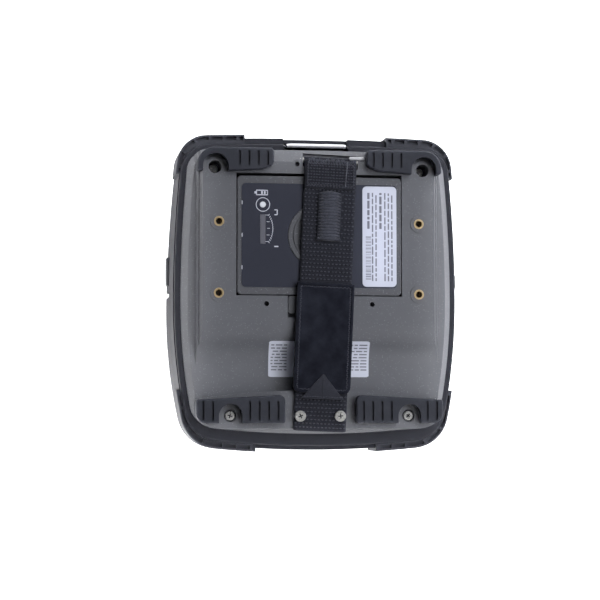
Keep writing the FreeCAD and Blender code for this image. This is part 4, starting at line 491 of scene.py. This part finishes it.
def slab(x0, x1, y0, y1, low, high, corner=0.0, edge=0.0):
    """A slab with rounded upright corners and a softened rim on its low face, all sizes in millimetres."""
    bpy.ops.object.select_all(action="DESELECT")
    middle = (MM * (x0 + x1) / 2, MM * (y0 + y1) / 2, MM * (low + high) / 2)
    bpy.ops.mesh.primitive_cube_add(size=MM, location=middle)
    bpy.context.object.scale = (x1 - x0, y1 - y0, high - low)
    bpy.ops.object.transform_apply(location=True, rotation=True, scale=True)
    bpy.ops.object.mode_set(mode="EDIT")
    if corner:
        select_only("EDGE", is_upright)
        bpy.ops.mesh.bevel(offset=MM * corner, segments=5)
    if edge:
        select_only("FACE", lambda face: face.normal.z < -0.9)
        bpy.ops.mesh.region_to_loop()
        bpy.ops.mesh.bevel(offset=MM * edge, segments=3)
    bpy.ops.object.mode_set(mode="OBJECT")
    return bpy.context.object


def set_in(piece, steps):
    """Insets the low face by each step's width and moves it by its depth, for a sewn or moulded channel."""
    bpy.ops.object.mode_set(mode="EDIT")
    select_only("FACE", lambda face: face.normal.z < -0.9)
    for width, depth in steps:
        bpy.ops.mesh.inset(thickness=MM * width, depth=0.0)
        bpy.ops.transform.translate(value=(0, 0, MM * depth))
    bpy.ops.object.mode_set(mode="OBJECT")
    return piece


def ribbed(x0, x1, y0, y1, low, high, pitch, rib, cells=8):
    """A woven band across the Y direction: a thick sheet whose low face rises in one soft rib per pitch."""
    bpy.ops.object.select_all(action="DESELECT")
    rows = 2 * round((y1 - y0) / pitch)
    bpy.ops.mesh.primitive_grid_add(x_subdivisions=cells, y_subdivisions=rows, size=MM)
    piece = bpy.context.object
    piece.scale = (x1 - x0, y1 - y0, 1)
    piece.location = (MM * (x0 + x1) / 2, MM * (y0 + y1) / 2, MM * high)
    bpy.ops.object.transform_apply(location=True, rotation=True, scale=True)
    step = MM * (y1 - y0) / rows
    bpy.ops.object.mode_set(mode="EDIT")
    select_only("VERT", lambda vert: round((vert.co.y - MM * y0) / step) % 2 == 1)
    bpy.ops.transform.translate(value=(0, 0, -MM * rib))
    bpy.ops.object.mode_set(mode="OBJECT")
    apply_modifier(piece, "SOLIDIFY", thickness=MM * (high - low - rib), offset=-1.0)
    apply_modifier(piece, "SUBSURF", levels=1)
    return piece


def apply_modifier(piece, kind, **values):
    bpy.context.view_layer.objects.active = piece
    modifier = piece.modifiers.new(kind.lower(), kind)
    for key, value in values.items():
        setattr(modifier, key, value)
    bpy.ops.object.modifier_apply(modifier=modifier.name)


def copies(piece, places):
    """Copies of one modelled piece, each with its own mesh, at (x, y, z, degrees), joined as one piece."""
    made = []
    for x, y, z, turn in places:
        twin = piece.copy()
        twin.data = piece.data.copy()
        bpy.context.scene.collection.objects.link(twin)
        twin.location = (MM * x, MM * y, MM * z)
        twin.rotation_euler.z = math.radians(turn)
        made.append(twin)
    bpy.data.objects.remove(piece)
    return joined(made)


def joined(made):
    bpy.ops.object.select_all(action="DESELECT")
    for twin in made:
        twin.select_set(True)
    bpy.context.view_layer.objects.active = made[0]
    if len(made) > 1:
        bpy.ops.object.join()
    bpy.ops.object.transform_apply(location=True, rotation=True, scale=True)
    return bpy.context.object


def turned(piece, degrees, x, y):
    """The piece turned about an upright line through (x, y)."""
    place = Matrix.Translation((MM * x, MM * y, 0))
    piece.data.transform(place @ Matrix.Rotation(math.radians(degrees), 4, "Z") @ place.inverted())
    return piece


def settled(piece, target, gap):
    """The piece laid on a CAD face above it, following its curve, with its low face gap proud of it."""
    apply_modifier(
        piece, "SHRINKWRAP", target=NODES[target], wrap_method="PROJECT", use_project_z=True,
        use_positive_direction=True, use_negative_direction=False, offset=MM * gap
    )
    return piece


def done(piece, name, look, body, angle=35.0):
    piece.name = piece.data.name = name
    bpy.ops.object.select_all(action="DESELECT")
    piece.select_set(True)
    bpy.context.view_layer.objects.active = piece
    bpy.ops.object.mode_set(mode="EDIT")
    bpy.ops.mesh.select_all(action="SELECT")
    bpy.ops.mesh.normals_make_consistent(inside=False)
    bpy.ops.object.mode_set(mode="OBJECT")
    bpy.ops.object.shade_smooth_by_angle(angle=math.radians(angle))
    piece.data.materials.clear()
    piece.data.materials.append(LOOKS[look])
    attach(piece, body)
    return piece


def stitch(length, width, rise):
    """One sewn stitch lying along Y: a short thread, thick in the middle and tucked in at its ends."""
    piece = slab(-width / 2, width / 2, -length / 2, length / 2, -rise, rise)
    bpy.ops.object.mode_set(mode="EDIT")
    bpy.ops.mesh.select_all(action="SELECT")
    bpy.ops.mesh.subdivide(number_cuts=1, smoothness=0.8)
    bpy.ops.object.mode_set(mode="OBJECT")
    apply_modifier(piece, "SUBSURF", levels=1)
    return piece


def ring_piece(radius, width, low, high, segments=48):
    """A flat ring between two radii with softened edges."""
    bpy.ops.object.select_all(action="DESELECT")
    bpy.ops.mesh.primitive_circle_add(vertices=segments, radius=MM * radius, location=(0, 0, MM * high))
    piece = bpy.context.object
    bpy.ops.object.transform_apply(location=True, rotation=True, scale=True)
    bpy.ops.object.mode_set(mode="EDIT")
    bpy.ops.mesh.select_all(action="SELECT")
    bpy.ops.mesh.extrude_edges_move()
    scale = (radius + width) / radius
    bpy.ops.transform.resize(value=(scale, scale, 1))
    bpy.ops.object.mode_set(mode="OBJECT")
    apply_modifier(piece, "SOLIDIFY", thickness=MM * (high - low), offset=0.0)
    apply_modifier(piece, "BEVEL", width=MM * min(width, high - low) * 0.25, segments=2)
    return piece


# ================= strap =================
STRAP_TURN, STRAP_FOOT_Y = 2.5, -75.9


def strap_stitches(places, name, look="thread_pale", length=1.5, width=0.42, z=1.5):
    piece = copies(stitch(length, width, 0.16), [(x, y, z, turn) for x, y, turn in places])
    done(turned(piece, STRAP_TURN, 0, STRAP_FOOT_Y), name, look, "main_body")


def line_of(x0, y0, x1, y1, pitch, zig=0.0):
    """Stitch places along a line, turned along it, and leaning to either side by zig degrees in turn."""
    run = math.hypot(x1 - x0, y1 - y0)
    count = max(1, round(run / pitch))
    turn = math.degrees(math.atan2(-(x1 - x0), y1 - y0))
    made = []
    for n in range(count):
        t = (n + 0.5) / count
        made.append((x0 + t * (x1 - x0), y0 + t * (y1 - y0), turn + zig * (1 - 2 * (n % 2))))
    return made


def frame_of(x0, x1, y0, y1, pitch, zig=0.0):
    return (line_of(x0, y0, x0, y1, pitch, zig) + line_of(x0, y1, x1, y1, pitch, zig)
            + line_of(x1, y1, x1, y0, pitch, zig) + line_of(x1, y0, x0, y0, pitch, zig))


def make_strap():
    """The hand strap: ribbed webbing, sewn far fold, elastic keeper, velvet pad and the pad's folded tip."""
    half = 16.5
    band = ribbed(-half, half, -85.4, 81.6, 3.05, 4.5, 2.4, 0.3)
    fold = ribbed(-half + 0.6, half - 0.4, 64.1, 81.9, 1.75, 3.0, 1.8, 0.2)
    wrap = slab(-half, half, 78.5, 84.6, 6.0, 9.9)
    bpy.ops.object.mode_set(mode="EDIT")
    select_only("EDGE", lambda edge: abs(edge.verts[0].co.x - edge.verts[1].co.x) > MM)
    bpy.ops.mesh.bevel(offset=MM * 1.5, segments=5)
    bpy.ops.object.mode_set(mode="OBJECT")
    band = turned(joined([band, fold]), STRAP_TURN, 0, STRAP_FOOT_Y)
    done(band, "strap_band", "webbing", "main_body", 60)
    done(turned(wrap, STRAP_TURN, 0, STRAP_FOOT_Y), "strap_loop", "webbing", "main_body", 50)
    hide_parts("strap_webbing")

    keeper = ribbed(-0.2 - 7.3, -0.2 + 7.3, 32.6, 61.6, 1.62, 3.0, 1.86, 0.55, cells=6)
    lip = slab(-7.7, 7.3, 31.9, 34.2, 1.62, 3.0, corner=0.3, edge=0.5)
    keeper = turned(joined([keeper, lip]), STRAP_TURN, 0, STRAP_FOOT_Y)
    done(keeper, "keeper_band", "elastic", "main_body", 60)
    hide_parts("strap_keeper")
    # Painted highlights: pale thread stripes laid on the keeper's rib crests where the ribs catch the light.
    crest_highlights = [(-0.2, 33.4 + 1.86 * n, 90) for n in range(16)]
    strap_stitches(crest_highlights, "keeper_rib_highlights", "thread", 13.6, 0.8, 1.78)

    pad = slab(-17.9, 17.9, -62.2, 5.8, 1.72, 3.0)
    bpy.ops.object.mode_set(mode="EDIT")
    select_only("EDGE", lambda edge: is_upright(edge) and edge.verts[0].co.y < 0)
    bpy.ops.mesh.bevel(offset=MM * 4.6, segments=5)
    select_only("FACE", lambda face: face.normal.z < -0.9)
    bpy.ops.mesh.region_to_loop()
    bpy.ops.mesh.bevel(offset=MM * 0.55, segments=3)
    bpy.ops.object.mode_set(mode="OBJECT")
    set_in(pad, [(1.35, 0.0), (0.25, 0.22), (0.7, 0.0), (0.25, -0.22), (1.6, -0.14)])
    done(turned(pad, STRAP_TURN, 0, STRAP_FOOT_Y), "velvet_pad", "velvet", "main_body", 60)
    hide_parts("strap_pad")
    strap_stitches(frame_of(-15.4, 15.4, -59.8, 3.4, 1.25, 48.0), "pad_stitching", "thread", 1.5, 0.4, 1.76)

    tip = slab(-13.9, 12.8, -65.6, -50.4, 1.15, 1.72)
    bpy.ops.object.mode_set(mode="EDIT")
    select_only("VERT", lambda vert: vert.co.y > MM * -51)
    bpy.ops.transform.resize(value=(0.03, 1, 1), center_override=(MM * -0.6, 0, 0))
    select_only("EDGE", lambda edge: abs(edge.verts[0].co.z - edge.verts[1].co.z) < MM * 0.1)
    bpy.ops.mesh.bevel(offset=MM * 0.22, segments=2)
    bpy.ops.object.mode_set(mode="OBJECT")
    crease = slab(-0.85, -0.35, -65.4, -52.0, 0.98, 1.3, corner=0.15, edge=0.1)
    tip = turned(joined([tip, crease]), STRAP_TURN, 0, STRAP_FOOT_Y)
    done(tip, "pad_tip", "elastic", "main_body", 40)
    strap_stitches(line_of(-12.4, -64.2, 11.4, -64.2, 1.7), "tip_stitching", "thread", 1.2, 0.32, 1.1)

    dashes = []
    for row in range(67):
        y = -84.2 + 2.4 * (row + 0.5)
        hidden = -62.0 < y < 6.6 or y > 64.0
        for column in range(14):
            x = -15.2 + 2.3 * column + (0.5 if row % 2 else 0.0)
            if hidden or (-7.9 < x < 7.7 and 31.8 < y < 62.2):
                continue
            dashes.append((x, y, 90.0))
    strap_stitches(dashes, "webbing_picks", "thread", 1.35, 0.42, 2.9)
    loops = []
    for row in range(9):
        for column in range(17):
            x = -14.6 + 1.8 * column + random.uniform(-0.3, 0.3)
            loops.append((x, 65.6 + 1.8 * row, 90 + random.uniform(-8, 8)))
    strap_stitches(loops, "fold_picks", "thread", 1.2, 0.4, 1.68)
    box_seam = frame_of(-14.2, 14.4, 66.4, 79.4, 1.9)
    strap_stitches(box_seam, "fold_stitching", "thread", 1.5, 0.5, 1.6)
    fray = []
    for n in range(28):
        x = -14.6 + 1.05 * n + random.uniform(-0.2, 0.2)
        y = 81.4 + random.uniform(-0.5, 0.6)
        fray.append((x, y, random.uniform(-9, 9)))
    strap_stitches(fray, "fold_fray", "thread", 2.6, 0.4, 1.9)
    strap_stitches(line_of(-10.2, 81.5, -9.2, 66.0, 1.6, 6.0), "stray_thread", "thread_pale", 1.9, 0.28, 1.5)


# ================= labels, prints and rings =================
def bars(places, low, high, corner=0.25):
    """Printed bars (x, y, half x, half y) as thin plates, joined as one piece."""
    return joined([
        slab(x - hx, x + hx, y - hy, y + hy, low, high, corner=min(corner, 0.9 * hx, 0.9 * hy))
        for x, y, hx, hy in places
    ])


def text_rows(x0, x1, rows, rise, seed, upright=False):
    """Rows of generic print: short bars of different lengths standing for words."""
    draw = random.Random(seed)
    made = []
    for row in rows:
        at = x0
        while at < x1 - 1.0:
            word = min(draw.uniform(1.6, 5.2), x1 - at)
            spot = (at + word / 2, row, word / 2, rise)
            made.append((spot[1], spot[0], spot[3], spot[2]) if upright else spot)
            at += word + 0.9
    return made


def make_prints():
    label = text_rows(7.5, 62.5, [-45.4, -43.2, -41.0, -35.4, -33.2], 0.42, 3, upright=True)
    label += text_rows(40.0, 62.5, [-38.2, -30.6], 0.75, 5, upright=True)
    done(bars(label, 4.68, 4.73, 0.2), "type_label_print", "print_grey", "main_body")
    codes = random.Random(11)
    stripes, y = [], 8.5
    while y < 35.0:
        wide = codes.choice((0.22, 0.22, 0.4, 0.6))
        stripes.append((-30.6, y + wide / 2, 1.7, wide / 2))
        y += wide + codes.choice((0.3, 0.5, 0.8))
    done(bars(stripes, 4.68, 4.73, 0.0), "type_label_bars", "print_grey", "main_body")

    bpy.ops.object.select_all(action="DESELECT")
    bpy.ops.mesh.primitive_grid_add(x_subdivisions=24, y_subdivisions=24, size=MM)
    notice = bpy.context.object
    mid_x, mid_y = MM * -0.5, MM * -40.85
    notice.scale, notice.location = (63.0, 22.1, 1), (mid_x, mid_y, 0)
    bpy.ops.object.transform_apply(location=True, rotation=True, scale=True)
    bpy.ops.object.mode_set(mode="EDIT")
    select_only("VERT", lambda vert: abs(vert.co.x - mid_x) > MM * 31.4 and abs(vert.co.y - mid_y) > MM * 11)
    bpy.ops.mesh.bevel(offset=MM * 2.2, segments=4, affect="VERTICES")
    bpy.ops.object.mode_set(mode="OBJECT")
    settled(notice, "rear_cover", 0.12)
    apply_modifier(notice, "SOLIDIFY", thickness=MM * 0.08, offset=-1.0)
    done(notice, "notice_label", "label_paper", "main_body")
    rows = [-32.2 - 1.9 * n for n in range(9)]
    words = text_rows(19.6, 29.6, rows, 0.36, 21) + text_rows(-30.6, -20.6, rows, 0.36, 22)
    made = []
    for x, y, hx, hy in words:
        bpy.ops.object.select_all(action="DESELECT")
        spot = (MM * x, MM * y, 0)
        bpy.ops.mesh.primitive_grid_add(x_subdivisions=3, y_subdivisions=1, size=MM, location=spot)
        made.append(bpy.context.object)
        made[-1].scale = (2 * hx, 2 * hy, 1)
    print_rows = settled(joined(made), "rear_cover", 0.24)
    apply_modifier(print_rows, "SOLIDIFY", thickness=MM * 0.04, offset=-1.0)
    done(print_rows, "notice_print", "print_grey", "main_body")

    arc = []
    for n in range(15):
        t = -1 + n / 7
        arc.append((29.2 + 2.5 * t * t, 39.3 + 8.4 * t, 4.8, -14.0 * t * -2.2))
    dash = slab(-0.2, 0.2, -0.62, 0.62, -0.025, 0.025, corner=0.15)
    gauge = copies(dash, [(x, y, z, turn) for x, y, z, turn in arc])
    low, high = 4.775, 4.825
    tick_places = [(31.9 + 1.1 * (abs(n - 2) / 2) ** 2, 31.2 + 4.1 * n, 0.9, 0.16) for n in range(5)]
    ticks = bars(tick_places, low, high, 0.1)
    end_marks = [(26.5, 49.4, 0.35, 1.5), (27.3, 50.9, 1.0, 0.3), (27.3, 47.9, 1.0, 0.3)]
    end_marks.append((27.1, 28.3, 1.3, 0.35))
    ends = bars(end_marks, low, high, 0.2)
    cell_bars = [(36.0, 62.9, 3.6, 0.28), (36.0, 60.1, 3.6, 0.28), (32.6, 61.5, 0.28, 1.5)]
    cell_bars += [(39.4, 61.5, 0.28, 1.5), (40.2, 61.5, 0.45, 0.7)]
    cell_bars += [(34.3, 61.5, 0.5, 0.9), (36.0, 61.5, 0.5, 0.9)]
    cell = bars(cell_bars, low, high, 0.1)
    circle = ring_piece(4.0, 0.4, -0.025, 0.025)
    circle = copies(circle, [(35.4, 54.1, 4.8, 0)])
    gauge = joined([gauge, ticks, ends, cell, circle])
    done(gauge, "gauge_print", "print_white", "main_body")
    notches = bars([(48.3, 35.2 + 20.0 * n, 0.25, 1.2) for n in (-1, 0, 1)], 4.775, 4.83, 0.2)
    done(notches, "overlay_notches", "print_white", "main_body")


def make_cover_details():
    """Moulded lips round the screw wells and small bores, a bright steel strip on the far rim as a painted
    highlight, flat black crosses on the screws as painted shade of their slots, and the screws' cups.
    """
    lips = copies(ring_piece(5.6, 0.5, 4.75, 5.1), [(65, 77, 0, 0)])
    other = copies(ring_piece(5.6, 0.5, 4.75, 5.1), [(-65, 77, 0, 0)])
    done(joined([lips, other]), "well_lips", "cover_grey", "main_body", 40)
    bores = [(14, 79.6, 0, 0), (33, -7, 0, 0), (-33, -7, 0, 0)]
    bore_lips = copies(ring_piece(1.55, 0.45, 4.85, 5.1, 24), bores)
    done(bore_lips, "bore_lips", "cover_grey", "main_body", 40)
    # Painted highlight: a bright steel strip laid where the far rim's bend catches the light.
    highlight_strip = slab(-28.0, -18.4, 82.6, 84.6, 4.1, 5.1, corner=0.9, edge=0.45)
    done(highlight_strip, "rim_highlight_strip", "tear_steel", "main_body", 40)
    for name, node_name, rim, spots in (
        ("strap_screw", "strap_screws", 3.3, [(12.4, -75.9), (-12.4, -75.9)]),
        ("case_screw", "case_screws", 2.75, [(55.5, -75.7), (-55.5, -75.7)]),
    ):
        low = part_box(node_name)[0].z / MM
        # Painted shade: flat black crosses on the screw heads stand for the shade inside their cross slots.
        cross = joined([slab(-1.5, 1.5, -0.32, 0.32, low - 0.05, low + 0.05, corner=0.2),
                        slab(-0.32, 0.32, -1.5, 1.5, low - 0.05, low + 0.05, corner=0.2)])
        slot_shades = copies(cross, [(x, y, 0, 30 + 3 * x) for x, y in spots])
        done(slot_shades, name + "_slots", "module_black", "main_body")
        cup = ring_piece(rim - 0.7, 0.7, low - 0.1, low + 0.25, 40)
        cups = copies(cup, [(x, y, 0, 0) for x, y in spots])
        done(cups, name + "_rims", "screw_steel", "main_body", 40)


def make_face_details():
    """Key marks and the display's picture, in the tilted panel's own plane."""
    tilt = Matrix.Translation((0, MM * 2.8, MM * 79.0)) @ Matrix.Rotation(math.radians(-7.0), 4, "X")

    def on_panel(piece):
        piece.data.transform(tilt)
        return piece

    marks = {
        "power": [(-52, 26.0, 0.35, 1.4)],
        "menu": [(-35, 25.8, 2.2, 0.35), (-35, 24.0, 2.2, 0.35), (-35, 22.2, 2.2, 0.35)],
        "ok": [(0, 24.0, 1.1, 1.1)],
        "feed": [(52, 22.0, 2.4, 0.35), (52, 24.6, 0.35, 1.8)],
    }
    for name, places in marks.items():
        icon = bars(places, 1.19, 1.26, 0.3)
        if name == "power":
            icon = joined([icon, copies(ring_piece(1.9, 0.45, 1.19, 1.26, 32), [(-52, 24.0, 0, 0)])])
        done(on_panel(icon), "mark_" + name, "print_white", "btn_" + name)
    for name, x, way in (("left", -19, 1), ("right", 19, -1)):
        arms = copies(slab(-0.35, 0.35, -1.5, 1.5, 1.19, 1.26, corner=0.3),
                      [(x, 24.0 + 0.9, 0, -45 * way), (x, 24.0 - 0.9, 0, 45 * way)])
        done(on_panel(arms), "mark_" + name, "print_white", "btn_" + name)
    frame_bars = [(0, 76.5, 26.0, 0.3), (0, 47.5, 26.0, 0.3)]
    frame_bars += [(-26.0, 62.0, 0.3, 14.5), (26.0, 62.0, 0.3, 14.5)]
    rows = [(-19, 70.5, 4.0, 1.3), (-7, 70.5, 5.5, 1.3), (8, 70.5, 6.5, 1.3)]
    rows += [(-12, 65.6, 11.0, 0.8), (-14, 61.8, 9.0, 0.8), (16, 54.5, 0.3, 4.0)]
    rows += [(6 + 1.7 * n, 54.5, 0.25 + 0.22 * (n % 3), 4.0) for n in range(10) if n != 6]
    picture = on_panel(bars(frame_bars + rows, 0.0, 0.06, 0.25))
    done(picture, "display_picture", "lcd_light", "main_body")


make_camera()
make_stage()
LOOKS = make_materials()
dress_frame(LOOKS)
make_strap()
make_prints()
make_cover_details()
make_face_details()
